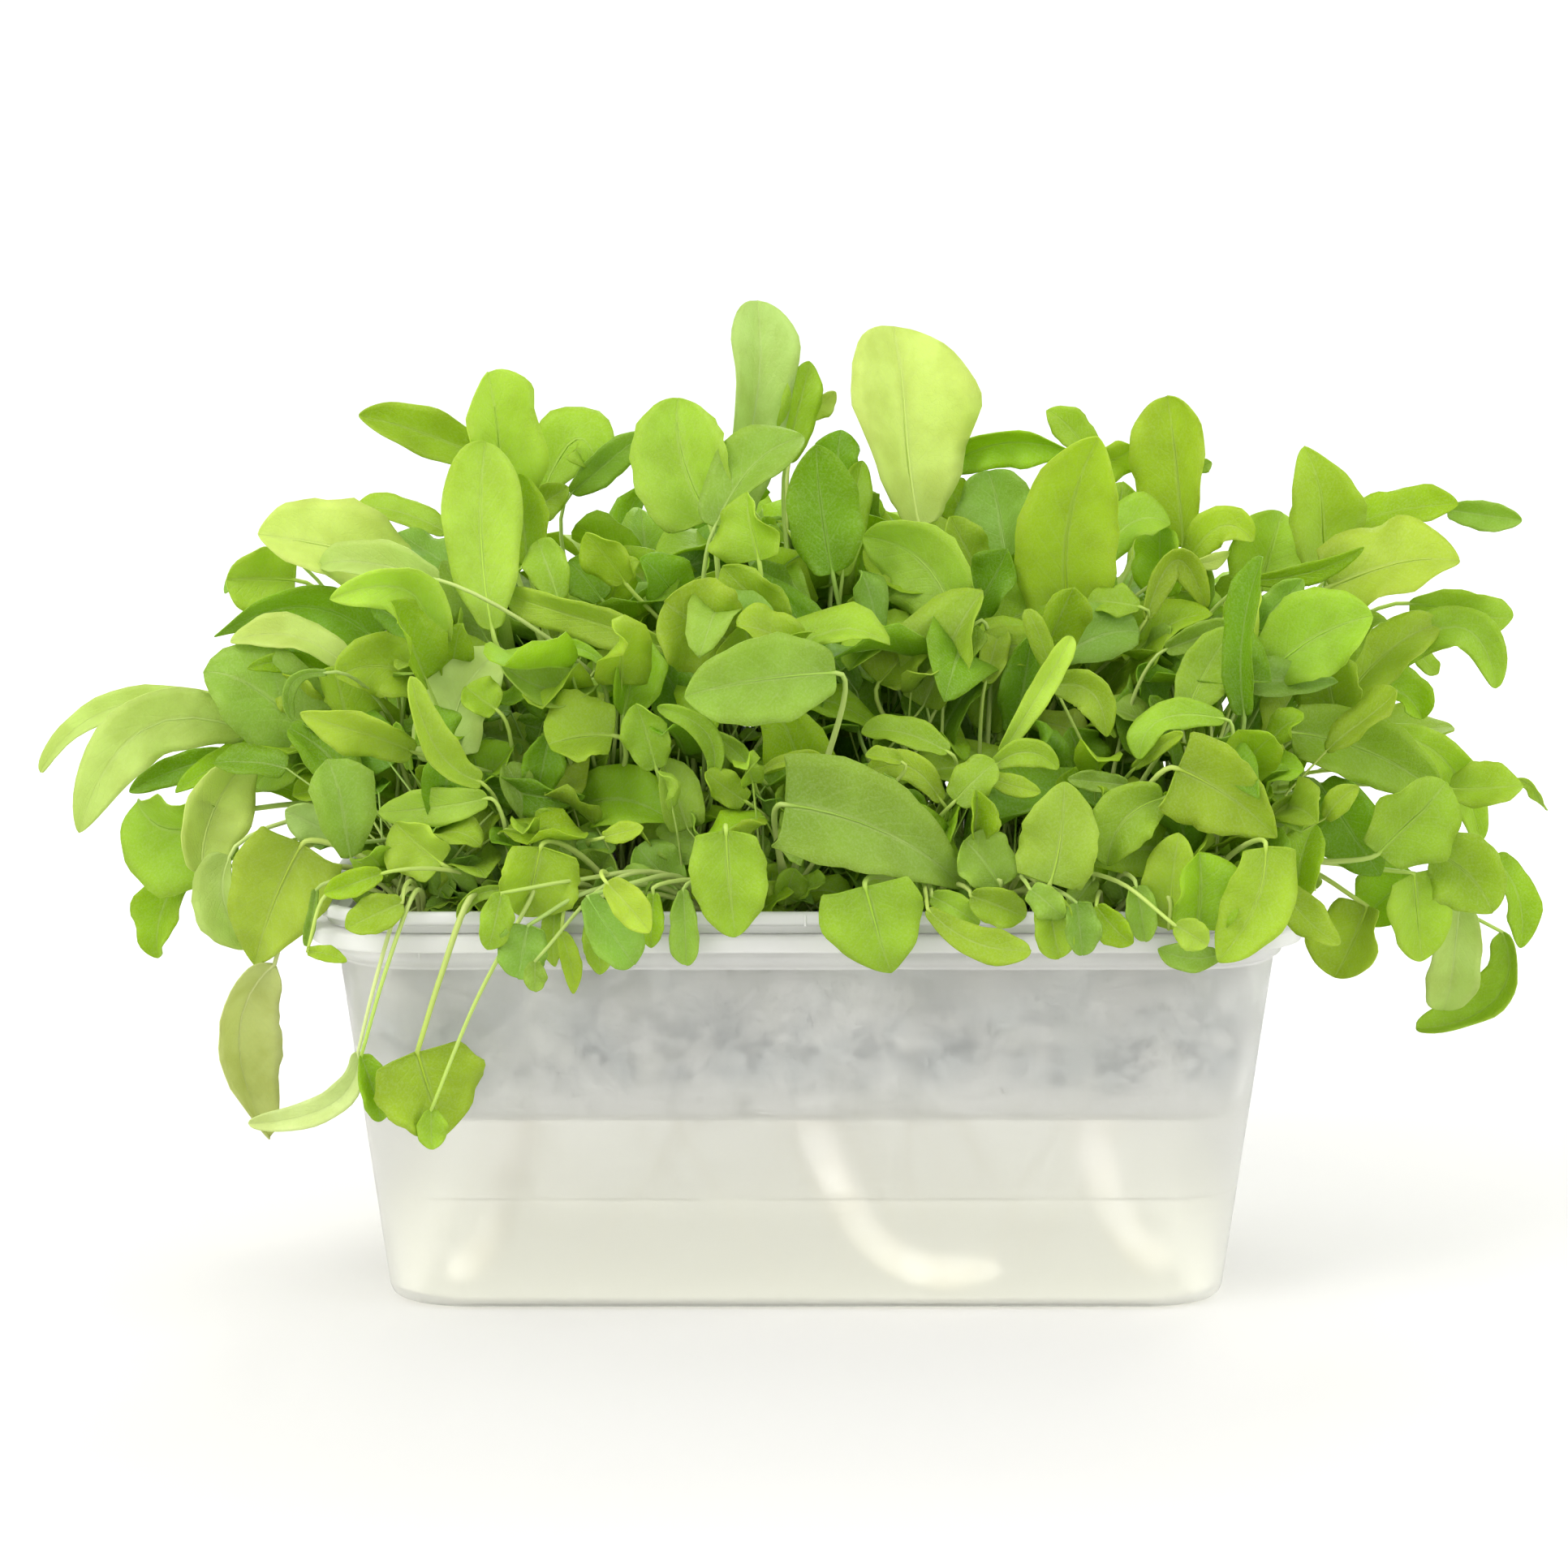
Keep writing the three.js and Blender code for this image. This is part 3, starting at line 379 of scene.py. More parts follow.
def makeTub():
    base, wall, panel = tub["baseInset"], tub["wall"], tub["panel"]
    profile = [
        (base + 3, panel), (base + 0.5, panel + 0.8), (wallInset(3.6), 3.6), (wallInset(103.4), 103.4),
        (5.5, 104.2), (5.1, 106.0), (6.2, 107.6), (5.4, 111.8), (1.3, 111.8), (1.1, 108.6), (0.2, 108.6),
        (0, 109.2), (0, 112.5), (0.7, tub["height"]), (6.4, tub["height"]), (wallInset(110) + wall, 110),
        (wallInset(4) + wall, 4), (base + 2.6, panel + 1.4),
    ]
    rows = softened(profile, tub["edgeRadius"])
    shell = loft([outlineRing(inset, z) for inset, z in rows])
    panelRings = []
    for inset, z in ((9.6, 0), (9, 0.3), (9, panel + 0.3)):
        halfX = tub["rimLength"] / 2 - base - inset
        halfY = tub["rimWidth"] / 2 - base - inset
        corners = [(halfX, halfY), (-halfX, halfY), (-halfX, -halfY), (halfX, -halfY)]
        panelRings.append([np.array([x, y, z]) for x, y in corners])
    marks = [smallRib(-109.5, 5.5, 105.4, 108.4), ringMark(46.8, 5.6, 106.6)]
    thing = meshObject("tub", *joinShapes([shell, loft(panelRings)] + marks))
    smooth(thing)
    return thing


def makeTray():
    floor, outside = tub["trayFloor"], tub["wall"] + tub["trayGap"]
    inside = outside + tub["trayWall"]
    seat = tub["height"] + 0.3
    profile = [
        (wallInset(floor) + outside + 2, floor), (wallInset(floor + 2) + outside, floor + 2), (8.3, seat),
        (4.2, seat), (4.2, 115.9), (1.6, 116.4), (1.1, 117.1), (1.1, 119.3), (1.8, tub["lipTop"]),
        (3.6, tub["lipTop"]), (5.2, 118.8), (5.4, 114.7), (9.3, 114.5),
        (wallInset(floor + 2.6) + inside, floor + 2.6), (wallInset(floor) + inside + 2, floor + 1.2),
    ]
    shell = loft([outlineRing(inset, z) for inset, z in softened(profile, 0.7)])
    thing = meshObject("tray", *joinShapes([shell, smallRib(-0.6, 1.1, 116.2, 119.4)]))
    smooth(thing)
    return thing


# The tub is milky: a rough see-through body, whitened a little from within. The tray is a thin pale haze.
plastic = {
    "tint": "#f7f7f5", "streak": 0.02, "roughness": 0.37, "bending": 1.3, "passes": 0.93,
    "clearness": 0.93, "milk": 0.07, "bloom": 0.35, "tide": 0.26, "rimFrom": 102, "rimClear": 0.35, "rimMilk": 0.3,
    "haze": 0.16, "rimHaze": 0.7, "wisps": 0.36,
    "cloudScale": 26.0, "flow": (1.0, 1.0, 0.35), "bloomScales": (58.0, 330.0), "wispScales": (72.0, 420.0),
    "bloomRise": (0.053, 0.064), "wispsFoot": (0.057, 0.076), "wispsEnd": (0.104, 0.112),  # heights in metres
    "hazeRise": (0.108, 0.113), "tideWidth": (0.0001, 0.0007),
}


def lampsThrough(tree, surface, passes):  # lets the lamps light what stands behind a clear wall
    isShadow = put(tree, "ShaderNodeLightPath").outputs["Is Shadow Ray"]
    film = put(tree, "ShaderNodeBsdfTransparent", {"Color": (passes, passes, passes * 0.98, 1)})
    return put(tree, "ShaderNodeMixShader", {0: isShadow, 1: surface, 2: film.outputs[0]}).outputs[0]


def plasticColour(tree):
    grain = putGrain(tree, plastic["cloudScale"], 1500.0, plastic["flow"])
    shade = colour(plastic["tint"], 1 - plastic["streak"])
    return grain, blendColours(tree, grain["Cloud"], colour(plastic["tint"]), shade)


def makeTubMaterial(name, clearness, milk, bloom):
    material, tree = newMaterial(name)
    grain, base = plasticColour(tree)
    rough = add(tree, plastic["roughness"] - 0.05, times(tree, grain["Cloud"], 0.1))
    body = principled(tree, {"Base Color": base, "Roughness": rough, "IOR": plastic["bending"],
                             "Transmission Weight": clearness})
    place, high, (broad, fine) = objectPlace(tree), heightOf(tree), plastic["bloomScales"]
    damp = add(tree, clouds(tree, place, broad), times(tree, fineGrain(tree, place, fine), 0.2))
    damp = times(tree, spread(tree, damp, 0.6, 0.7, 0.0, bloom),  # bloom on the wall beside the soil
                 spread(tree, high, *plastic["bloomRise"]))
    offLine = calc(tree, "ABSOLUTE", less(tree, high, tub["water"] * mm))
    drawn = clouds(tree, vectorCalc(tree, "MULTIPLY", place, plastic["flow"]), plastic["cloudScale"])
    tide = times(tree, spread(tree, offLine, *plastic["tideWidth"], plastic["tide"], 0.0),
                 spread(tree, drawn, 0.4, 0.55))  # the broken line that the water leaves on the wall
    milky = letThrough(tree, add(tree, add(tree, damp, tide), milk), body, {"Color": base})
    return endMaterial(material, lampsThrough(tree, milky, plastic["passes"]))


def makeTrayMaterial():
    material, tree = newMaterial("hazy plastic")
    base = plasticColour(tree)[1]
    damp = putGrain(tree, *plastic["wispScales"])  # condensation in wisps, thickest along the foot of the soil
    wisps = add(tree, damp["Cloud"], times(tree, damp["Grain"], 0.16))
    wisps = add(tree, wisps, spread(tree, heightOf(tree), *plastic["wispsFoot"], 0.14, 0.0))
    wisps = times(tree, spread(tree, wisps, 0.46, 0.76, 0.0, plastic["wisps"]),
                  spread(tree, heightOf(tree), *plastic["wispsEnd"], 1.0, 0.0))
    rise = spread(tree, heightOf(tree), *plastic["hazeRise"], plastic["haze"], plastic["rimHaze"])
    haze = add(tree, wisps, rise)
    return endMaterial(material, principled(tree, {"Base Color": base, "Roughness": 0.36, "Alpha": haze}))


tubPiece, trayPiece = makeTub(), makeTray()
wallMaterial = makeTubMaterial("milky plastic", plastic["clearness"], plastic["milk"], plastic["bloom"])
rimMaterial = makeTubMaterial("thick milky plastic", plastic["rimClear"], plastic["rimMilk"], 0.0)
for material in (wallMaterial, rimMaterial):
    tubPiece.data.materials.append(material)
for face in tubPiece.data.polygons:
    face.material_index = 1 if face.center[2] > plastic["rimFrom"] * mm else 0
trayPiece.data.materials.append(makeTrayMaterial())
settle(tubPiece, "frosted_plastic", "reservoir_tub")
settle(trayPiece, "frosted_plastic", "growing_tray")
print("container done")


soil = {"level": 112.4, "floor": 57, "gap": 0.35, "relief": 1.2, "crumbs": 62000.0, "crumbSize": 1.15,
        "seed": 5}


def soilHeight(x, y):
    dome = 1.8 * max(0, 1 - (x / 132) ** 2) * max(0, 1 - (y / 86) ** 2)
    lumps = 0.8 * math.sin(x * 0.11 + 0.7) * math.cos(y * 0.13)
    return soil["level"] + dome + (lumps + 0.5 * math.sin(x * 0.31 + y * 0.23)) * min(1, dome)


def makeSoilBed():
    def inside(z):
        return wallInset(z) + tub["wall"] + tub["trayGap"] + tub["trayWall"] + soil["gap"]

    floor = soil["floor"]
    rings = [outlineRing(inside(floor) + 2.2, floor + 1.55, 10, 26)]
    levels = [floor + 2.8 + (soil["level"] - floor - 2.8) * k / 22 for k in range(23)]
    rings += [outlineRing(inside(z), z, 10, 26) for z in levels]
    edge = rings[-1]
    for share in (0.97, 0.93, 0.88, 0.8, 0.72, 0.64, 0.56, 0.48, 0.4, 0.32, 0.24, 0.16, 0.08):
        rings.append([np.array([p[0] * share, p[1] * share, soilHeight(p[0] * share, p[1] * share)]) for p in edge])
    return meshObject("soil_bed", *loft(rings))


def makeSoilTree():  # crumbly relief, and loose crumbs over the top
    tree, given, result = newTree("Geometry", "crumbly soil", [
        ("Geometry", "Geometry"), ("Relief", "Float", 0.0009), ("Crumbs", "Float", 50000.0),
        ("Crumb Size", "Float", 0.001), ("Seed", "Int", 1), ("Material", "Material"),
    ], [("Geometry", "Geometry")])

    def randomVector(least, most, seed):
        inputs = {"Min": least, "Max": most, "Seed": seed}
        return put(tree, "FunctionNodeRandomValue", inputs, data_type="FLOAT_VECTOR").outputs[0]

    lump = noise(tree, pointValue(tree, "Position"), 170.0, 3.0)
    inward = times(tree, spread(tree, lump, 0.35, 0.75, 0.0, -1.0), given["Relief"])
    bed = moved(tree, given["Geometry"], vectorCalc(tree, "SCALE", pointValue(tree, "Normal"), inward))
    isTop = times(tree, calc(tree, "GREATER_THAN", axisOf(tree, pointValue(tree, "Normal"), 2), 0.6),
                  calc(tree, "GREATER_THAN", axisOf(tree, pointValue(tree, "Position"), 2), 0.1))
    points = put(tree, "GeometryNodeDistributePointsOnFaces", {
        "Mesh": bed, "Selection": isTop, "Density": given["Crumbs"], "Seed": given["Seed"]})
    ball = put(tree, "GeometryNodeMeshIcoSphere", {"Radius": given["Crumb Size"], "Subdivisions": 1})
    crumbs = put(tree, "GeometryNodeInstanceOnPoints", {
        "Points": points.outputs["Points"], "Instance": ball.outputs["Mesh"],
        "Scale": randomVector((0.4, 0.4, 0.3), (1.5, 1.2, 0.9), given["Seed"]),
        "Rotation": randomVector((0, 0, 0), (6.2, 6.2, 6.2), 9)})
    return endTree(tree, result, joined(tree, bed, crumbs.outputs[0]), (True, given["Material"]))


def makeSoilMaterial():
    material, tree = newMaterial("potting soil")
    grain, high = putGrain(tree, 105.0, 420.0), heightOf(tree)
    upward = axisOf(tree, put(tree, "ShaderNodeNewGeometry").outputs["Normal"], 2)
    wall = spread(tree, upward, 0.2, 0.5, 1.0, 0.0)  # damp, misted patches against the tray's wall, in painted light: the pale glow of the milky plastic, strongest at the foot, where it lifts the shade
    mist = spread(tree, add(tree, grain["Cloud"], spread(tree, high, 0.057, 0.08, 0.3, 0.0)), 0.42, 0.62)
    paintedGlow = blendColours(tree, spread(tree, high, 0.057, 0.072), colour("#e9e8dd"), colour("#d4d9db"))
    side = blendColours(tree, times(tree, mist, 0.7), colour("#6e777c"), paintedGlow)
    # painted light: the side turns paler towards the top
    side = blendColours(tree, spread(tree, high, 0.074, 0.1, 0.0, 0.6), side, colour("#f8faf9"))
    base = blendColours(tree, spread(tree, grain["Cell"], 0.1, 0.6), colour("#3d352e"), colour("#171412"))
    return endMaterial(material, principled(tree, {
        "Base Color": blendColours(tree, wall, base, side), "Specular IOR Level": 0.25,
        "Roughness": spread(tree, grain["Grain"], 0.3, 0.7, 0.75, 1.0),
        "Normal": bumped(tree, grain["Grain"], 0.7, 0.001)}))


soilPiece = applyTree(makeSoilBed(), makeSoilTree(), {
    "Relief": soil["relief"] * mm, "Crumbs": soil["crumbs"], "Crumb Size": soil["crumbSize"] * mm,
    "Seed": soil["seed"], "Material": makeSoilMaterial()})
settle(soilPiece, "soil", "soil")
print("soil done")


water = {"tint": "#eeeedd", "body": 0.24, "glow": 0.06, "paintedLowGlow": 1.3, "meniscus": 0.9, "gap": 0.35}


def makeWater():
    clear = tub["wall"] + water["gap"]
    level, low = tub["water"], tub["panel"] + 1.4 + water["gap"]
    rows = [(tub["baseInset"] + 3.4, low), (wallInset(4.4) + clear, 4.4), (wallInset(level) + clear, level - 0.2)]
    rings = [outlineRing(inset, z) for inset, z in rows]
    for inward, rise in ((0.1, water["meniscus"]), (0.9, 0.3), (2.2, 0.05), (4.5, 0.0)):
        rings.append(outlineRing(wallInset(level) + clear + inward, level - 0.9 + rise))
    thing = meshObject("water_body", *loft(rings))
    smooth(thing, 60)
    return thing


def makeWaterMaterial():
    material, tree = newMaterial("water")
    grain, tint = putGrain(tree, 18.0, 300.0), colour(water["tint"])
    # painted light: the water glows, most at the bottom, lifting the shade low in the tub
    share = water["glow"] / water["paintedLowGlow"]
    glow = blendColours(tree, spread(tree, heightOf(tree), 0.0, tub["water"] * mm), tint,
                        colour(water["tint"], share))
    return endMaterial(material, principled(tree, {
        "Base Color": blendColours(tree, grain["Cloud"], tint, colour(water["tint"], 0.97)),
        "Roughness": 0.08, "IOR": 1.33, "Alpha": water["body"], "Emission Color": glow,
        "Emission Strength": water["paintedLowGlow"], "Normal": bumped(tree, grain["Cloud"], 0.05, 0.001)}))


waterPiece = makeWater()
waterPiece.data.materials.append(makeWaterMaterial())
settle(waterPiece, "water", "water")


wick = {
    "radius": 5.3, "sides": 22, "fuzz": 1.0, "lumpScale": 260.0, "taper": 0.45, "glow": 0.42, "paintedLowGlow": 0.07,
    "left": [[-84, -16, 70], [-85, -20, 57], [-87, -30, 36], [-91, -42, 19], [-97, -53, 10], [-103, -61, 8]],
    "middle": [[0, -50, 70], [1, -54, 57], [10, -60, 32], [21, -62, 16], [36, -62, 8.6], [56, -58, 8]],
    "right": [[82, -46, 70], [83, -50, 57], [84, -53, 43], [89, -55, 27], [98, -55, 13], [107, -48, 8.6]],
}


def throughPoints(points, perSpan):  # a smooth curve through the points, even where they stand unevenly
    p = [np.array(q, float) for q in points]
    p = [2 * p[0] - p[1]] + p + [2 * p[-1] - p[-2]]
    result = [p[1]]
    for a, b, c, d in zip(p, p[1:], p[2:], p[3:]):
        t1 = max(np.linalg.norm(b - a), 1e-6) ** 0.5
        t2 = t1 + max(np.linalg.norm(c - b), 1e-6) ** 0.5
        t3 = t2 + max(np.linalg.norm(d - c), 1e-6) ** 0.5
        for k in range(1, perSpan + 1):
            t = t1 + (t2 - t1) * k / perSpan
            ab, bc, cd = between(a, b, 0, t1, t), between(b, c, t1, t2, t), between(c, d, t2, t3, t)
            ac, bd = between(ab, bc, 0, t2, t), between(bc, cd, t1, t3, t)
            result.append(between(ac, bd, t1, t2, t))
    return result


def railObject(name, rails, fields):  # polylines in metres; fields: name -> (type, one list of values a rail)
    vertices, edges = [], []
    for rail in rails:
        start = len(vertices)
        vertices += [p * mm for p in rail]
        edges += [(start + i, start + i + 1) for i in range(len(rail) - 1)]
    thing = meshObject(name, vertices, [], edges)
    for label, (kind, values) in fields.items():
        flat = np.array([v for rail in values for v in rail], np.float32).ravel()
        layer = thing.data.attributes.new(label, kind, "POINT")
        layer.data.foreach_set({"FLOAT": "value", "FLOAT_VECTOR": "vector", "FLOAT_COLOR": "color"}[kind], flat)
    return thing


def makeStrandTree():  # strands with a lumpy skin
    tree, given, result = newTree("Geometry", "strands", [
        ("Geometry", "Geometry"), ("Sides", "Int", 12), ("Lumps", "Float", 0.0), ("Lump Scale", "Float", 400.0),
        ("Material", "Material"),
    ], [("Geometry", "Geometry")])
    lump = noise(tree, pointValue(tree, "Position"), given["Lump Scale"], 3.0)
    amount = times(tree, less(tree, lump, 0.62), given["Lumps"])
    tube = moved(tree, strands(tree, given["Geometry"], given["Sides"]),
                 vectorCalc(tree, "SCALE", pointValue(tree, "Normal"), amount))
    return endTree(tree, result, tube, (True, given["Material"]))


strandTree = makeStrandTree()


def makeFeltMaterial():
    material, tree = newMaterial("white felt")
    grain = putGrain(tree, 120.0, 1800.0, (1.0, 1.0, 0.5))
    base = blendColours(tree, spread(tree, grain["Cloud"], 0.3, 0.7), colour("#fbfaf4"), colour("#e9e5d6"))
    # painted light: the felt glows, weakly low down and fully higher up, lifting the shade inside the tub
    paintedGlowFoot = colour("#fbfaf4", wick["paintedLowGlow"] / wick["glow"])
    return endMaterial(material, principled(tree, {
        "Base Color": base, "Roughness": spread(tree, grain["Grain"], 0.3, 0.7, 0.8, 1.0), "Sheen Weight": 0.3,
        "Emission Color": blendColours(tree, spread(tree, heightOf(tree), 0.012, 0.045), paintedGlowFoot, colour("#fbfaf6")),
        "Emission Strength": wick["glow"], "Normal": bumped(tree, grain["Grain"], 0.6, 0.0004)}))


feltMaterial = makeFeltMaterial()
for side in ("left", "middle", "right"):
    path = throughPoints(wick[side], 12)
    last = len(path) - 1
    girth = [wick["radius"] * (1 - wick["taper"] * (max(0, i - last + 8) / 8) ** 2) * mm for i in range(last + 1)]
    thing = railObject(f"felt_wick_{side}", [path], {"thick": ("FLOAT", [girth])})
    applyTree(thing, strandTree, {"Sides": wick["sides"], "Lumps": wick["fuzz"] * mm, "Lump Scale": wick["lumpScale"],
                                  "Material": feltMaterial})
    settle(thing, "wick", f"wick_{side}")

roots = {"count": 26, "thick": 0.3, "sides": 5, "seed": 77}


def rootRails():  # thin roots that have come down beside the wicks
    random = randomStream(roots["seed"])
    rails, girths = [], []
    starts = [(-87, -30), (3, -54), (83, -51), (40, -60), (-40, -58), (0, 40)]
    for number in range(roots["count"]):
        x, y = starts[number % len(starts)]
        here = np.array([x + (random() - 0.5) * 26, y + (random() - 0.5) * 8, tub["trayFloor"] - 0.2])
        heading = random() * 2 * math.pi
        rail = [here]
        steps = 7 + int(random() * 7)
        for step in range(steps):
            heading += (random() - 0.5) * 1.5
            fall = 5.0 if here[2] > 10 else 0.2
            here = here + np.array([math.cos(heading) * 3.2, math.sin(heading) * 1.6, -fall * (0.6 + 0.6 * random())])
            here[0] = min(max(here[0], -112), 112)
            here[1] = min(max(here[1], -68), 66)
            here[2] = max(here[2], 3.0)
            rail.append(here)
        path = throughPoints(rail, 3)
        rails.append(path)
        girths.append([roots["thick"] * (1 - 0.7 * i / len(path)) * mm for i in range(len(path))])
    return rails, girths


def makeRootMaterial():
    material, tree = newMaterial("pale root")
    grain = putGrain(tree, 150.0, 1500.0)
    return endMaterial(material, principled(tree, {
        "Base Color": blendColours(tree, grain["Cloud"], colour("#f2ecd8"), colour("#cdbf9a")),
        "Roughness": spread(tree, grain["Grain"], 0.3, 0.7, 0.5, 0.7),
        "Normal": bumped(tree, grain["Grain"], 0.3, 0.0002)}))


rails, girths = rootRails()
rootPiece = railObject("fine_roots", rails, {"thick": ("FLOAT", girths)})
applyTree(rootPiece, strandTree, {"Sides": roots["sides"], "Lumps": 0.0, "Material": makeRootMaterial()})
settle(rootPiece, "leaf")
print("water, wicks and roots done")


# The frame's leaves grow by a seeded rule, which is followed here again. A try counts where the packed
# plant has its leaf tip and the first joint of its stalk.
growth = {
    "rows": 5, "columns": 9, "leavesPerPlant": 6, "mostTries": 102, "stalkRadius": 0.95,
    "eye": (-6.5, -1300.0, 326.0), "match": 0.03, "spacing": (28.6, 34.5), "stray": (13, 12), "seed": 41,
}
eye = np.array(growth["eye"])
bladeShapes = {  # peak, base, round, blunt, lobe
    "oval": (0.46, 0.3, 2.3, 0.7, 0.02), "arrow": (0.22, 0.6, 1.7, 0.86, 0.13),
    "heart": (0.36, 0.6, 2.1, 0.7, 0.06), "round": (0.52, 0.5, 2.3, 0.5, 0.04), "strap": (0.5, 0.4, 2.8, 0.5, 0),
    "spoon": (0.64, 0.2, 2.3, 0.5, 0), "squared": (0.72, 0.34, 3.2, 0.54, 0), "folded": (0.46, 0.4, 2.1, 0.74, 0.01),
}

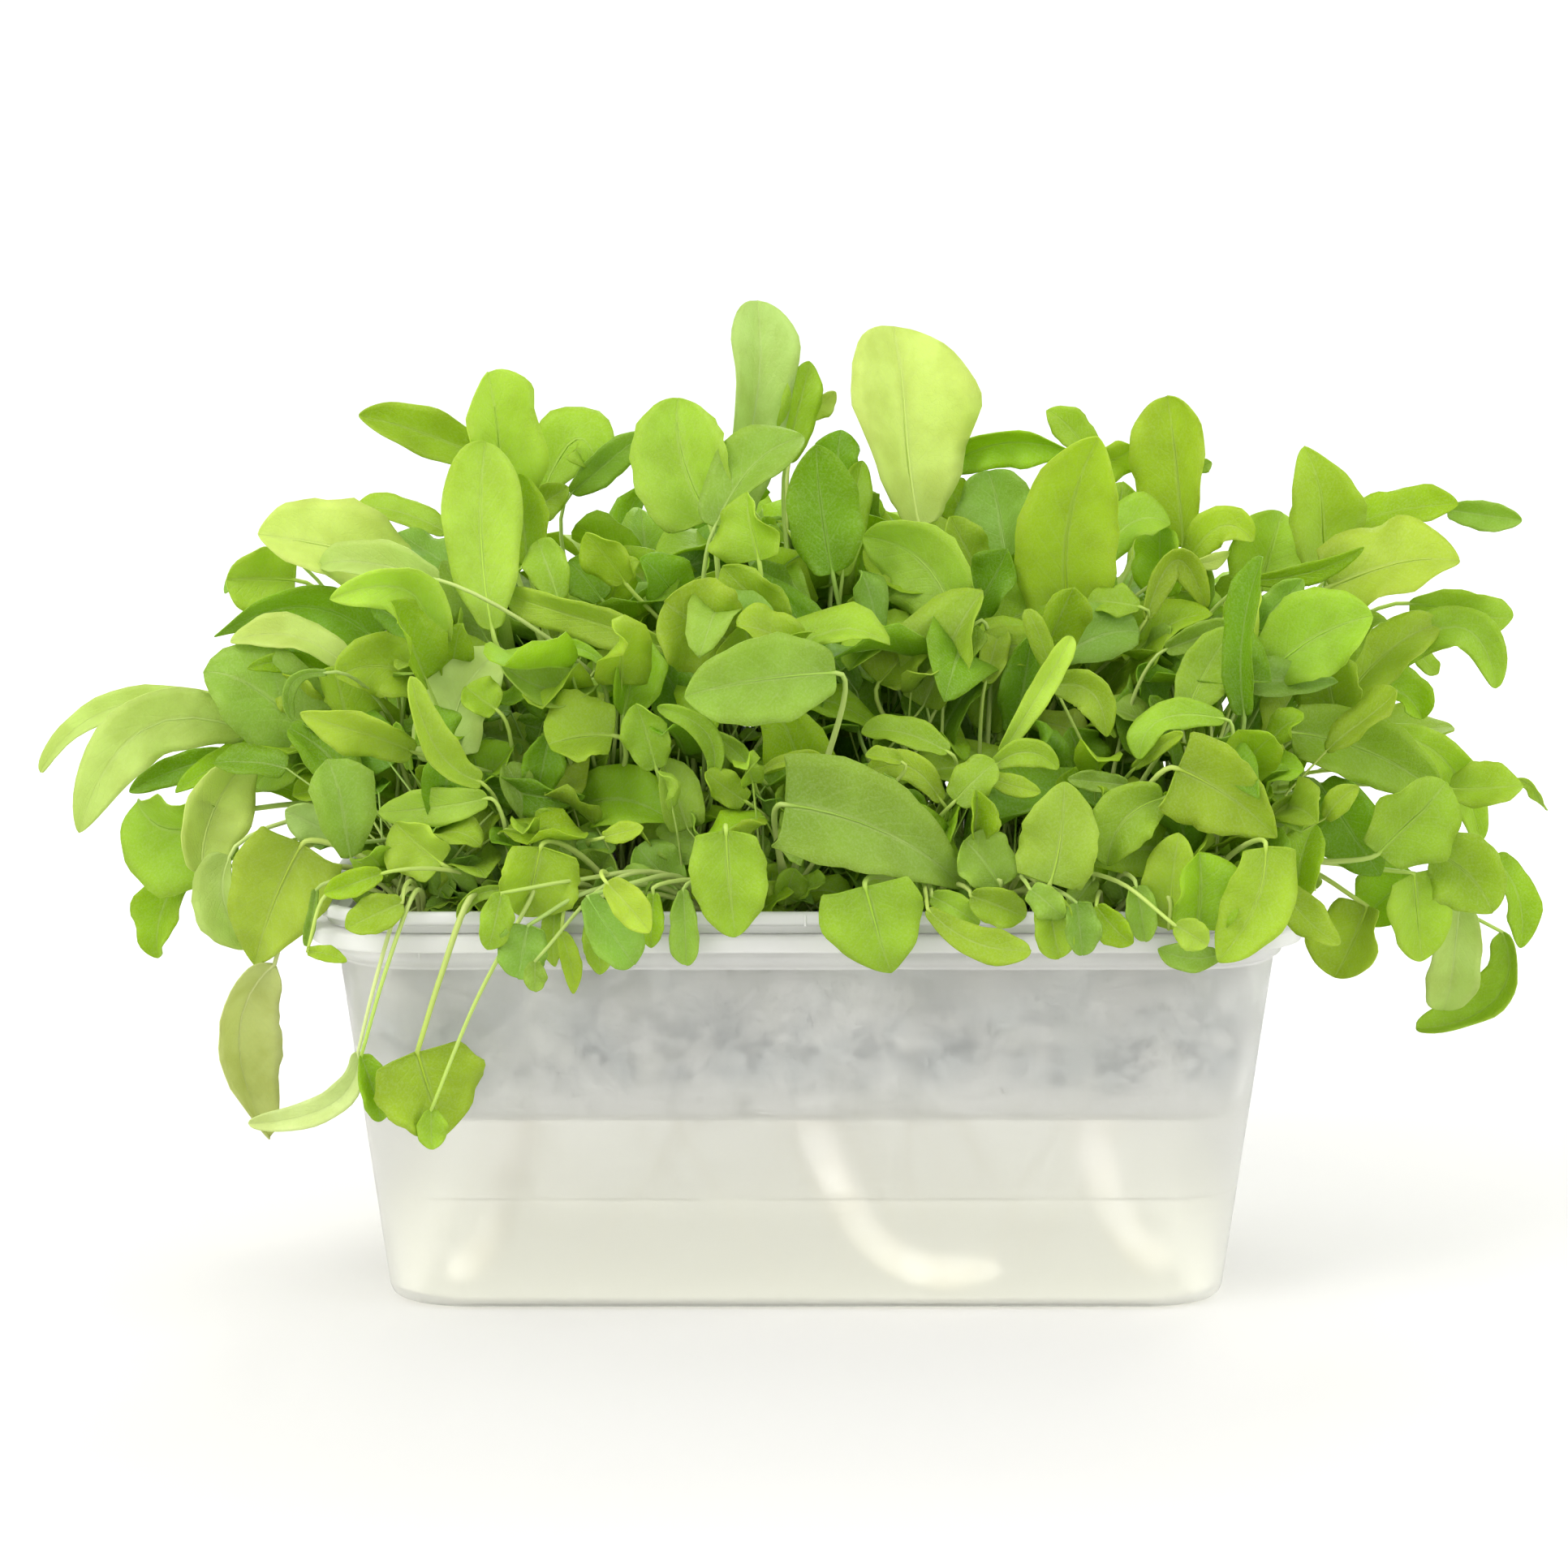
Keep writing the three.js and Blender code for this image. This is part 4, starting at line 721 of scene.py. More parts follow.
# shape, tone, width, depth y, base x, base z, tip x, tip z, and a turn or a middle x and z, on the upright plane
seenLeaves = [
    # large leaves at the front
    ("arrow", "g", 28, -100, -6, 137, 51, 111, 23, 129), ("arrow", "n", 27, -105, 18, 112, 26, 84),
    ("arrow", "n", 24, -93, 112, 148, 142, 128), ("arrow", "y", 27, -78, -152, 125, -168, 85, -161, 107),
    ("heart", "y", 21, -99, 74, 113, 78, 144, 77, 127), ("heart", "n", 20, -104, -24, 129, -21, 96, -23, 113),
    ("heart", "n", 21, -99, -80, 124, -85, 102), ("oval", "g", 23, -86, 9, 177, -36, 170, -13, 175),
    ("heart", "n", 29, -106, -118, 61, -109, 34, -114, 48),
    ("strap", "v", 16, -66, -161, 88, -164, 35, -172, 66),
    ("strap", "v", 6.9, -101, -136, 61, -170, 39, -144, 45), ("oval", "m", 7.9, -106, -135, 60, -128, 39),
    ("oval", "n", 7.9, -101, -114, 43, -114, 31), ("heart", "n", 18, -104, 139, 124, 125, 89, 136, 106),
    ("oval", "n", 16, -92, 108, 139, 91, 118, 96, 132), ("oval", "n", 14, -96, 110, 99, 112, 128),
    ("round", "m", 18, -90, 119, 99, 120, 122), ("round", "y", 15, -88, -110, 119, -124, 131),
    ("oval", "y", 10, -84, -96, 139, -131, 135, -113, 136), ("round", "n", 21, -52, 173, 122, 194, 142),
    ("heart", "n", 18, -40, 146, 159, 194, 139, 170, 153), ("oval", "n", 20, -44, 189, 122, 208, 104, 200, 116),
    ("heart", "n", 18, -50, 184, 116, 187, 89),
    # over the rim, left to right
    ("strap", "g", 2.8, -90, -148, 111, -151, 94, 15), ("oval", "n", 4.2, -94, -151, 92, -139, 89),
    ("oval", "n", 10, -94, -122, 107, -139, 99), ("oval", "m", 6.9, -88, -128, 116, -145, 110),
    ("strap", "n", 3.5, -96, -90, 111, -105, 102, -100, 109), ("oval", "n", 8.8, -98, -92, 110, -96, 92),
    ("round", "g", 13, -105, -84, 100, -87, 84), ("oval", "g", 6, -100, -82, 89, -82, 80),
    ("oval", "n", 6.9, -101, -76, 105, -77, 87), ("oval", "n", 5.1, -101, -74, 98, -69, 79),
    ("folded", "y", 9, -105, -60, 113, -47, 98), ("spoon", "g", 14, -100, -66, 109, -51, 88),
    ("oval", "n", 7.9, -97, -64, 103, -62, 85), ("oval", "m", 6, -98, -46, 110, -47, 93),
    ("spoon", "g", 7.6, -100, -37, 111, -36, 88), ("oval", "n", 7.9, -98, 38, 109, 53, 100),
    ("spoon", "n", 9, -105, 37, 105, 68, 92, 51, 95), ("round", "n", 10, -102, 73, 110, 77, 90),
    ("round", "g", 9, -105, 82, 107, 84, 91), ("oval", "m", 8.1, -102, 88, 106, 99, 94),
    ("round", "g", 7.9, -99, 100, 112, 103, 95), ("oval", "n", 10, -96, 50, 109, 67, 102),
    ("oval", "g", 7.4, -100, 125, 91, 107, 93, 116, 90), ("oval", "y", 8.3, -97, 112, 100, 122, 94),
    ("oval", "n", 10, -88, 143, 114, 162, 94, 151, 103),
    # low along the front
    ("round", "g", 8.3, -98, 68, 111, 78, 102), ("oval", "g", 7.4, -92, 87, 114, 80, 105),
    ("round", "g", 10, -91, 103, 108, 96, 114), ("round", "g", 15, -94, 59, 112, 48, 126),
    ("folded", "m", 6.9, -92, 51, 127, 52, 141), ("round", "n", 11, -90, 45, 138, 57, 150),
    ("oval", "n", 7.4, -82, 57, 149, 76, 148, 67, 153), ("oval", "n", 5.5, -86, 54, 146, 71, 141),
    ("oval", "n", 7.9, -88, 41, 138, 18, 145, 30, 149), ("oval", "n", 7.9, -78, 43, 153, 17, 159, 29, 159),
    ("oval", "n", 4.2, -84, 29, 150, 18, 152), ("oval", "g", 5.5, -84, 97, 143, 79, 145),
    ("round", "g", 14, -88, -39, 111, -51, 124), ("round", "g", 13, -84, -66, 112, -59, 122),
    ("round", "g", 8.3, -80, -69, 122, -58, 124), ("oval", "n", 5.5, -86, -61, 127, -49, 130),
    ("round", "g", 12, -76, -32, 120, -36, 135), ("oval", "g", 14, -78, -91, 112, -110, 127),
    ("round", "n", 8.3, -80, -18, 138, -30, 147), ("strap", "n", 6, -84, -28, 146, -44, 166, -30, 159),
    ("oval", "n", 5.5, -76, -15, 147, -28, 159), ("spoon", "n", 4.2, -86, -13, 147, 8, 149, -3, 151),
    ("oval", "g", 9, -70, 154, 111, 142, 123), ("oval", "m", 12, -70, 147, 105, 152, 132),
    ("strap", "n", 4.2, -60, 154, 139, 139, 131, 145, 137), ("oval", "g", 9, -84, -23, 115, -12, 127),
    ("round", "g", 9, -92, -106, 113, -100, 122),
    # middle height, left part
    ("round", "n", 18, -76, -58, 158, -77, 155, -68, 158), ("oval", "d", 11, -70, -77, 158, -81, 139),
    ("heart", "d", 8.8, -60, -97, 143, -68, 138), ("oval", "n", 12, -80, -45, 148, -51, 168),
    ("heart", "d", 15, -56, -32, 159, -46, 183), ("folded", "m", 13, -66, -55, 164, -50, 188),
    ("oval", "g", 12, -58, -64, 175, -93, 179, -76, 172),
    ("strap", "m", 3.9, -64, -61, 180, -79, 183, -70, 185),
    ("strap", "y", 10, -56, -42, 184, -92, 199, -66, 193),
    ("heart", "p", 19, -58, -106, 151, -92, 186, -104, 169), ("round", "n", 10, -64, -93, 166, -102, 173),
    ("strap", "y", 8.3, -74, -98, 144, -117, 174, -111, 154), ("round", "g", 8.8, -66, -91, 148, -99, 156),
    ("round", "n", 25, -62, -22, 186, -42, 198), ("oval", "n", 14, -50, -5, 192, -25, 209),
    ("round", "n", 11, -66, -2, 184, -20, 192), ("heart", "y", 14, -60, -113, 186, -142, 199, -120, 202),
    ("oval", "n", 16, -66, -112, 172, -141, 175, -127, 179),
    ("oval", "p", 9, -44, -136, 177, -172, 186, -153, 188),
    ("oval", "m", 5.5, -36, -140, 175, -168, 179, -153, 180),
    ("arrow", "d", 14, -30, -129, 187, -178, 185, -152, 197),
    ("oval", "y", 11, -72, -118, 153, -150, 162, -134, 159),
    ("strap", "g", 3.2, -62, -144, 177, -155, 163, -154, 174), ("oval", "n", 10, -40, -146, 166, -159, 176),
    ("oval", "p", 9, -20, -151, 165, -167, 166), ("oval", "d", 7.9, -46, -110, 186, -132, 198),
    ("oval", "n", 12, -44, -143, 156, -168, 144), ("oval", "m", 7.9, -34, -158, 155, -190, 141, -173, 151),
    ("oval", "p", 17, -56, -182, 116, -166, 154, -179, 134),
    ("round", "n", 25, -46, -175, 134, -204, 137, -191, 129),
    ("oval", "p", 12, -72, -174, 121, -169, 93, -176, 108),
    ("folded", "m", 12, -50, -188, 116, -197, 89, -195, 104),
    ("strap", "p", 6.9, 0, -169, 166, -235, 147, -206, 167),
    ("oval", "p", 17, -30, -167, 159, -218, 129, -199, 160), ("oval", "d", 7.4, -20, -173, 152, -204, 141),
    ("oval", "d", 11, -84, -115, 112, -142, 132), ("oval", "p", 10, -70, -142, 127, -157, 135),
    ("oval", "n", 14, -56, -94, 144, -119, 147), ("oval", "d", 12, -40, -71, 165, -86, 175),
    ("oval", "d", 12, -60, -109, 155, -115, 167),
    # middle height, right part
    ("oval", "d", 14, -46, 16, 159, 13, 181), ("heart", "n", 14, -48, 22, 174, 36, 192),
    ("heart", "n", 13, -44, 51, 192, 34, 177), ("oval", "n", 7.4, -50, 54, 174, 59, 193),
    ("oval", "d", 12, -40, 63, 159, 68, 189), ("strap", "y", 6.2, -72, 59, 152, 80, 188, 72, 174),
    ("oval", "n", 10, -64, 74, 173, 90, 158, 86, 171), ("oval", "n", 14, -60, 114, 164, 127, 189),
    ("strap", "n", 8.3, -66, 126, 163, 100, 151, 107, 163), ("strap", "n", 3.9, -70, 99, 148, 114, 159),
    ("strap", "d", 8.8, -50, 132, 164, 137, 212, 131, 189), ("oval", "g", 8.3, -28, 135, 191, 149, 205),
    ("oval", "d", 14, -24, 138, 171, 148, 196), ("oval", "g", 6.9, -44, 108, 184, 128, 192),
    ("oval", "n", 22, -38, 138, 176, 170, 194, 153, 188), ("round", "n", 18, -26, 159, 164, 155, 183),
    ("oval", "n", 14, -30, 159, 164, 191, 194, 173, 182), ("strap", "n", 11, -12, 166, 171, 208, 172, 194, 191),
    ("oval", "n", 12, 2, 181, 198, 212, 191, 198, 195), ("heart", "y", 21, -22, 157, 203, 195, 213, 176, 210),
    ("oval", "m", 5.5, -16, 135, 205, 167, 213, 150, 207), ("oval", "d", 18, -30, 155, 143, 172, 116),
    ("strap", "n", 10, -20, 173, 158, 205, 124, 193, 150), ("oval", "n", 12, -16, 194, 142, 216, 144),
    ("strap", "n", 2.8, -14, 214, 144, 222, 134, 219, 142),
    ("round", "n", 10, -8, 164, 164, 195, 161, 179, 161), ("oval", "m", 8.8, -14, 167, 172, 185, 163, 179, 171),
    ("round", "m", 14, -40, 184, 116, 168, 103), ("round", "n", 17, -44, 170, 106, 161, 84),
    ("strap", "p", 13, -30, 198, 106, 195, 72), ("strap", "n", 10, -36, 211, 98, 186, 66, 210, 78),
    ("oval", "m", 9, -20, 208, 121, 216, 94, 216, 108), ("oval", "n", 5.1, 4, 183, 184, 190, 177),
    ("oval", "d", 12, -40, 38, 160, 31, 172), ("oval", "d", 12, -40, 85, 145, 80, 160),
    ("oval", "d", 10, -30, 107, 165, 99, 179), ("oval", "d", 12, -36, -8, 160, -1, 172),
    # tall leaves
    ("spoon", "p", 30, 0, 34, 221, 30, 281, 30, 251), ("squared", "p", 15, 4, -21, 223, -11, 289, -15, 256),
    ("spoon", "y", 22, -4, -89, 217, -92, 265, -91, 243), ("spoon", "y", 21, -38, -94, 190, -96, 246, -97, 217),
    ("heart", "y", 25, -20, -29, 223, -38, 259, -37, 242), ("heart", "y", 22, -34, 43, 197, 18, 219, 34, 211),
    ("oval", "n", 26, -14, 81, 185, 88, 249, 78, 218), ("strap", "n", 17, 8, 113, 215, 108, 260),
    ("oval", "d", 19, -36, 8, 207, 2, 246), ("oval", "g", 14, -30, -27, 221, -1, 251, -17, 238),
    ("round", "g", 18, -6, 60, 211, 56, 237), ("folded", "m", 11, -24, -83, 209, -86, 236),
    ("folded", "n", 12, 8, -95, 241, -133, 254), ("oval", "n", 16, 14, -79, 230, -62, 239, -69, 247),
    ("oval", "g", 8.3, 12, -70, 231, -48, 250), ("oval", "n", 10, 14, -6, 240, 2, 270),
    ("oval", "p", 5.1, 40, 0, 253, 9, 261), ("oval", "n", 9, -4, 11, 206, 17, 241),
    ("oval", "n", 12, -30, 37, 193, 17, 214, 27, 207), ("oval", "n", 11, -10, 53, 205, 43, 224),
    ("oval", "m", 10, 20, 42, 239, 77, 242, 60, 246), ("oval", "n", 9, 22, 86, 242, 73, 256),
    ("round", "n", 10, 16, 86, 238, 98, 244), ("oval", "g", 3.5, 26, 117, 238, 121, 240),
    ("oval", "n", 12, -12, 88, 210, 110, 224, 97, 222), ("round", "m", 14, -4, 107, 200, 105, 221),
    ("oval", "n", 10, 0, 114, 210, 134, 217, 124, 221), ("strap", "p", 3.7, -8, 112, 208, 128, 212),
    ("strap", "n", 6.9, -30, 102, 193, 119, 196, 111, 211), ("oval", "n", 7.9, -34, 100, 197, 84, 199),
    ("oval", "d", 12, -20, 49, 193, 61, 214), ("oval", "p", 21, -24, -119, 208, -164, 218, -141, 215),
    ("oval", "p", 10, -38, -110, 205, -148, 211, -130, 210), ("round", "y", 18, 0, -153, 205, -173, 205),
    ("oval", "g", 5.1, -8, -162, 212, -174, 201), ("strap", "n", 7.4, 10, -107, 219, -135, 228, -120, 225),
    ("oval", "g", 8.8, -6, -105, 208, -122, 219), ("oval", "g", 11, -20, -95, 186, -108, 211),
    ("heart", "n", 18, -6, 156, 206, 153, 241), ("heart", "n", 21, -8, 136, 202, 143, 226),
    ("oval", "m", 9, 4, 163, 220, 194, 226, 177, 226), ("oval", "g", 7.4, 20, 192, 226, 214, 223),
    ("heart", "n", 16, -44, -14, 211, -19, 231), ("oval", "n", 9, 6, 93, 223, 95, 234),
    ("oval", "d", 12, 4, 9, 233, 10, 250), ("oval", "m", 10, 10, 48, 223, 42, 235),
    ("oval", "d", 14, -20, -35, 194, -47, 211), ("oval", "d", 12, -20, -61, 199, -71, 211),
    ("oval", "n", 11, -46, -74, 199, -81, 218), ("oval", "n", 11, -40, -54, 204, -66, 218),
    ("oval", "d", 12, -30, -8, 194, -14, 211), ("oval", "n", 9, -6, -86, 223, -71, 233),
]


def halfWidthShare(shape, share):
    peak, base, broad, blunt, lobe = bladeShapes[shape]
    if share < peak:
        return base + (1 - base) * (1 - ((peak - share) / peak) ** 2)
    return (1 - min((share - peak) / (1 - peak), 1) ** broad) ** blunt


def fromEye(x, z, y):
    return eye + (np.array([x, 0.0, z]) - eye) * ((y - eye[1]) / -eye[1])


def crownPlaces():
    random = randomStream(growth["seed"])
    places = []
    for row in range(growth["rows"]):
        for column in range(growth["columns"]):
            x = (column - (growth["columns"] - 1) / 2) * growth["spacing"][0] + (random() - 0.5) * growth["stray"][0]
            y = (row - (growth["rows"] - 1) / 2) * growth["spacing"][1] + (random() - 0.5) * growth["stray"][1]
            places.append(np.array([x, y, soilHeight(x, y)]))
    return places


def crownsNear(base, crowns, loads):
    away = [(math.hypot(c[0] - base[0] * 0.86, c[1] - base[1] * 0.8), i) for i, c in enumerate(crowns)]
    return [i for _, i in sorted(a for a in away if loads[a[1]] < growth["leavesPerPlant"])][:3]


def seenTry(index, attempt, crowns, loads):
    shape, tone, wide, depth, baseX, baseZ, tipX, tipZ, *more = seenLeaves[index]
    turn, mid = (more[0], []) if len(more) == 1 else (0, more)
    random = randomStream(index * 977 + 13)
    move = attempt // 3 % 17
    y = depth + math.ceil(move / 2) * 2.4 * (-1 if move % 2 else 1)
    lean = (random() - 0.5) * 1.1
    roll = (random() - 0.5) * (40 if y < -92 else 76)
    length = math.hypot(tipX - baseX, tipZ - baseZ)
    tipY = y + (lean * 0.2 if y < -90 and baseZ < 150 else lean) * length
    base, tip = fromEye(baseX, baseZ, y), fromEye(tipX, tipZ, tipY)
    bulge = (random() - 0.4) * 0.12 * length
    if mid:
        middle = fromEye(mid[0], mid[1], (y + tipY) / 2)
    else:
        middle = fromEye((baseX + tipX) / 2, (baseZ + tipZ) / 2 + bulge, (y + tipY) / 2)
    near = crownsNear(base, crowns, loads)
    width = 1.08 * wide * (y - eye[1]) / -eye[1] / math.cos(math.radians(roll))
    fold = (0.6 if shape == "folded" else 0.16) + random() * 0.16
    wave = (random() - 0.5) * 0.3
    arch = 1 + random() * 2 + move * 0.4
    return {"shape": shape, "tone": tone, "crown": near[min(1 if attempt >= 51 else 0, len(near) - 1)],
            "base": base, "middle": middle, "tip": tip, "width": width, "turn": turn + roll, "fold": fold,
            "wave": wave, "arch": arch, "side": (0, 0.9, -0.9)[attempt % 3], "facing": eye}


def fillTry(crown, number, attempt, crowns):
    random = randomStream(50000 + crown * 1289 + number * 97 + attempt * 7919)
    place = crowns[crown]
    edge = place[1] > 50 or (abs(place[0]) > 100 and place[1] > -20)
    low = edge and number % 2 == 1
    outward = math.atan2(place[1] * (3 if edge else 1.5), place[0])
    heading = outward + (random() - 0.5) * (1.8 if low else 5.6 if number % 2 else 2.8)
    reach = 20 + random() * 26 if low else 8 + random() * 30
    tall = 30 + 66 * math.sqrt(random())
    short = 20 + 34 * random()
    rise = 8 + 30 * random() if low else tall if place[1] > -20 else short
    length = 24 + random() * 24
    pitch = -1 + 1.3 * random() if low else (random() - 0.25) * 1.5
    along = np.array([math.cos(heading), math.sin(heading), 0.0])
    base = place + along * reach + np.array([0, 0, rise])
    tip = base + along * length * math.cos(pitch) + np.array([0, 0, length * math.sin(pitch)])
    middle = (base + tip) / 2 + np.array([0, 0, length * (0.05 + 0.12 * random())])
    shape = ("oval", "oval", "heart", "arrow", "round", "strap")[int(random() * 6)]
    width = length * (0.42 + 0.22 * random()) * (0.6 if shape == "strap" else 1)
    turn = (random() - 0.5) * 70
    fold = 0.12 + random() * 0.3
    wave = (random() - 0.5) * 0.3
    arch = 1 + random() * 3
    side = (random() - 0.5) * 2.4
    tone = "nnnydgnm"[int(random() * 8)]
    return {"shape": shape, "tone": tone, "crown": crown, "base": base, "middle": middle, "tip": tip,
            "width": width, "turn": turn, "fold": fold, "wave": wave, "arch": arch, "side": side,
            "facing": base + np.array([0, 0, 400.0])}


def fillFits(leaf):
    tip = leaf["tip"]
    height = 216 - 40 * (tip[0] / 190) ** 2 - 14 * (tip[1] / 120) ** 2
    top = max(tip[2], leaf["base"][2], leaf["middle"][2])
    return top < height and abs(tip[0]) < 188 and abs(tip[1]) < 132 and tip[2] > 62


def stalkShape(leaf, crowns):  # the stalk's joints as in the frame, and its smooth course
    start = crowns[leaf["crown"]].copy()
    base = leaf["base"]
    side = math.atan2(base[1] - start[1], base[0] - start[0]) + leaf["side"]
    start = start + np.array([0.9 * math.cos(side), 0.9 * math.sin(side), -0.6])
    direction = unit(leaf["middle"] - base)
    if outsideRim(base[0], base[1]) > -3 and base[2] < tub["lipTop"] + 9:
        share = 1
        for i in range(41):
            if outsideRim(start[0] + (base[0] - start[0]) * i / 40, start[1] + (base[1] - start[1]) * i / 40) > 2.6:
                share = i / 40
                break
        over = start + (base - start) * share
        over[2] = max(tub["lipTop"] + 2.6 + leaf["arch"], base[2] + 1.5)
        knee = (start + over) / 2
        knee[2] = over[2] - 0.6
        joints = [start, knee, over, base]
        slant = np.array([max(over[2] - base[2] - 30, 0) * 0.75, 0, 0])  # long hanging stalks come in at a slant
        course = [start, knee + slant * 0.6, over + slant, (over + base) / 2 + slant * 0.42, base]
        return joints, throughPoints(course if slant[0] > 0 else joints, 6)
    reach = np.linalg.norm(start - base)
    rising = start + np.array([0, 0, reach * 0.36])
    arriving = base - direction * reach * 0.26
    softly = base - direction * reach * 0.15  # the fine stalk turns later, close to its blade

    def at(t, last):
        return start * (1 - t) ** 3 + rising * 3 * t * (1 - t) ** 2 + last * 3 * t * t * (1 - t) + base * t ** 3

    joints = [start] + [at(u, arriving) for u in ((1 / 3, 2 / 3) if reach > 110 else (0.5,))] + [base]
    return joints, [at(k / 14, softly) for k in range(15)]


def frameAt(along, facing, turn):
    up = facing - along * facing.dot(along)
    if up.dot(up) < 1e-6:
        up = np.array([along[2], 0, -along[0]])
    up = unit(up)
    angle = math.radians(turn)
    up = up * math.cos(angle) + np.cross(along, up) * math.sin(angle)
    return up, np.cross(up, along)


def firstJoint(leaf, joints):
    along = unit((joints[2] if len(joints) > 2 else leaf["middle"]) - joints[0])
    up, across = frameAt(along, unit(leaf["facing"] - leaf["base"]), leaf["turn"])
    r = growth["stalkRadius"]
    return [joints[1] + v * r for v in (-across, up, across, -up)]


def plantTree(node):
    mesh = nodes[node].data
    tree = KDTree(len(mesh.vertices))
    for i, vertex in enumerate(mesh.vertices):
        tree.insert(vertex.co / mm, i)
    tree.balance()
    return tree


def growPlants():
    crowns = crownPlaces()
    packed = [plantTree(f"plant_{i + 1:02d}") for i in range(len(crowns))]
    loads = [0] * len(crowns)
    leaves = []

    def stands(leaf):
        tree = packed[leaf["crown"]]
        if tree.find(leaf["tip"])[2] > growth["match"]:
            return False
        joints, course = stalkShape(leaf, crowns)
        if sum(tree.find(p)[2] < growth["match"] for p in firstJoint(leaf, joints)) < 2:
            return False
        leaf["course"] = course
        leaves.append(leaf)
        loads[leaf["crown"]] += 1
        return True

    for index in range(len(seenLeaves)):
        for attempt in range(growth["mostTries"]):
            if stands(seenTry(index, attempt, crowns, loads)):
                break
        else:
            print("no match for seen leaf", index)
    print(f"{len(leaves)} of {len(seenLeaves)} seen leaves found")
    for number in range(5):
        for crown, place in enumerate(crowns):
            enough = 5 if abs(place[0]) > 100 or place[1] > 20 else 4
            for attempt in range(40):
                if loads[crown] >= enough:
                    break
                leaf = fillTry(crown, number, attempt, crowns)
                if fillFits(leaf) and stands(leaf):
                    break
    print(f"{len(leaves)} leaves found in all")
    return crowns, leaves


crowns, leaves = growPlants()

# Leaf blades and stalks, close to the eye.
# d is a darker green, given mostly to leaves deep inside the plants as painted shade
tones = {"n": "#aed232", "y": "#c1e148", "p": "#d2ea84", "v": "#f0f6aa", "m": "#a4cf14", "d": "#80b40a",
         "g": "#9cc545"}
leafLook = {
    "stations": (0, 0.015, 0.035, 0.06, 0.09, 0.13, 0.18, 0.24, 0.31, 0.38, 0.45, 0.52, 0.59, 0.66, 0.73, 0.79,
                 0.84, 0.89, 0.93, 0.96, 0.98, 0.992, 1),
    "smallStations": (0, 0.03, 0.09, 0.2, 0.34, 0.5, 0.65, 0.78, 0.89, 0.96, 1),
    "broad": 21.5, "broadShoulder": 0.08, "shoulder": 0.1, "lobeReach": 0.26, "curlFrom": 0.55, "rollAbout": 0.3,
    "across": 9, "smallAcross": 5, "thickness": 0.38, "smallThickness": 0.3, "crinkle": 0.08, "margin": 0.03,
    "stalkTop": 0.62, "stalkSides": 7, "smallStalkSides": 5, "twist": 1.4, "fuller": 1.08, "curl": 0.3,
}


def bladeRail(leaf, stations, random):  # the midline, and how the sheet spreads from it at each station
    base, middle, tip = leaf["base"], leaf["middle"], leaf["tip"]
    bend = middle * 2 - base * 0.5 - tip * 0.5
    length = np.linalg.norm(base - middle) + np.linalg.norm(middle - tip)
    facing = unit(leaf["facing"] - base)
    lobe = bladeShapes[leaf["shape"]][4] * length
    ripple, shift = 2.5 + random() * 3, random() * 6.3
    fold, swing = leaf["fold"] * (0.9 + 1.9 * random() ** 2), (0.14 + 0.16 * random()) * min(1, 17 / leaf["width"])
    twist = (random() - 0.5) * leafLook["twist"]
    curl = (0.35 - random()) * leafLook["curl"] * length
    rail = {"spine": [], "side": [], "lift": [], "sway": [], "back": [], "upward": [], "along": []}
    first = leafLook["broadShoulder" if leaf["width"] >= leafLook["broad"] else "shoulder"]
    for s in stations:
        along = unit((bend - base) * (1 - s) + (tip - bend) * s)
        up, across = frameAt(along, facing, leaf["turn"])
        centre = bowed(base, bend, tip, s) + up * curl * max(0, (s - leafLook["curlFrom"]) / 0.45) ** 2
        roll = twist * (s - leafLook["rollAbout"])
        up, across = up * math.cos(roll) + across * math.sin(roll), across * math.cos(roll) - up * math.sin(roll)
        half = leaf["width"] * leafLook["fuller"] / 2 * halfWidthShare(leaf["shape"], max(s, first))
        if s < first:
            share = math.sqrt(1 - (1 - s / first) ** 2)
            half = half * share + growth["stalkRadius"] * 0.8 * (1 - share)
            back = lobe * (s / first)
        else:
            back = lobe * max(0, 1 - (s - first) / leafLook["lobeReach"]) ** 2
        half = max(half * (1 + leafLook["margin"] * math.sin(s * 6.28 * ripple + shift) * min(1, s * 4)), 0)
        wave = leaf["wave"] * half * (-0.6 + 1.4 * abs(s - 0.36) / 0.5 if s > 0.08 else 0.8)
        rail["spine"].append(centre)
        rail["side"].append(across * half * mm)
        rail["lift"].append(up * fold * half * mm)
        rail["sway"].append(up * (wave + swing * half * math.sin(s * 11 + shift * 2)) * mm)
        rail["back"].append(-along * back * mm)
        rail["upward"].append(up)
        rail["along"].append(s)
    return rail


def leafTone(letter, random):
    base = np.array(colour(tones[letter])[:3])
    warm = (random() - 0.5) * 0.16
    return np.append(base * (0.86 + 0.26 * random()) * np.array([1 + warm, 1, 1 - warm]), 1.0)


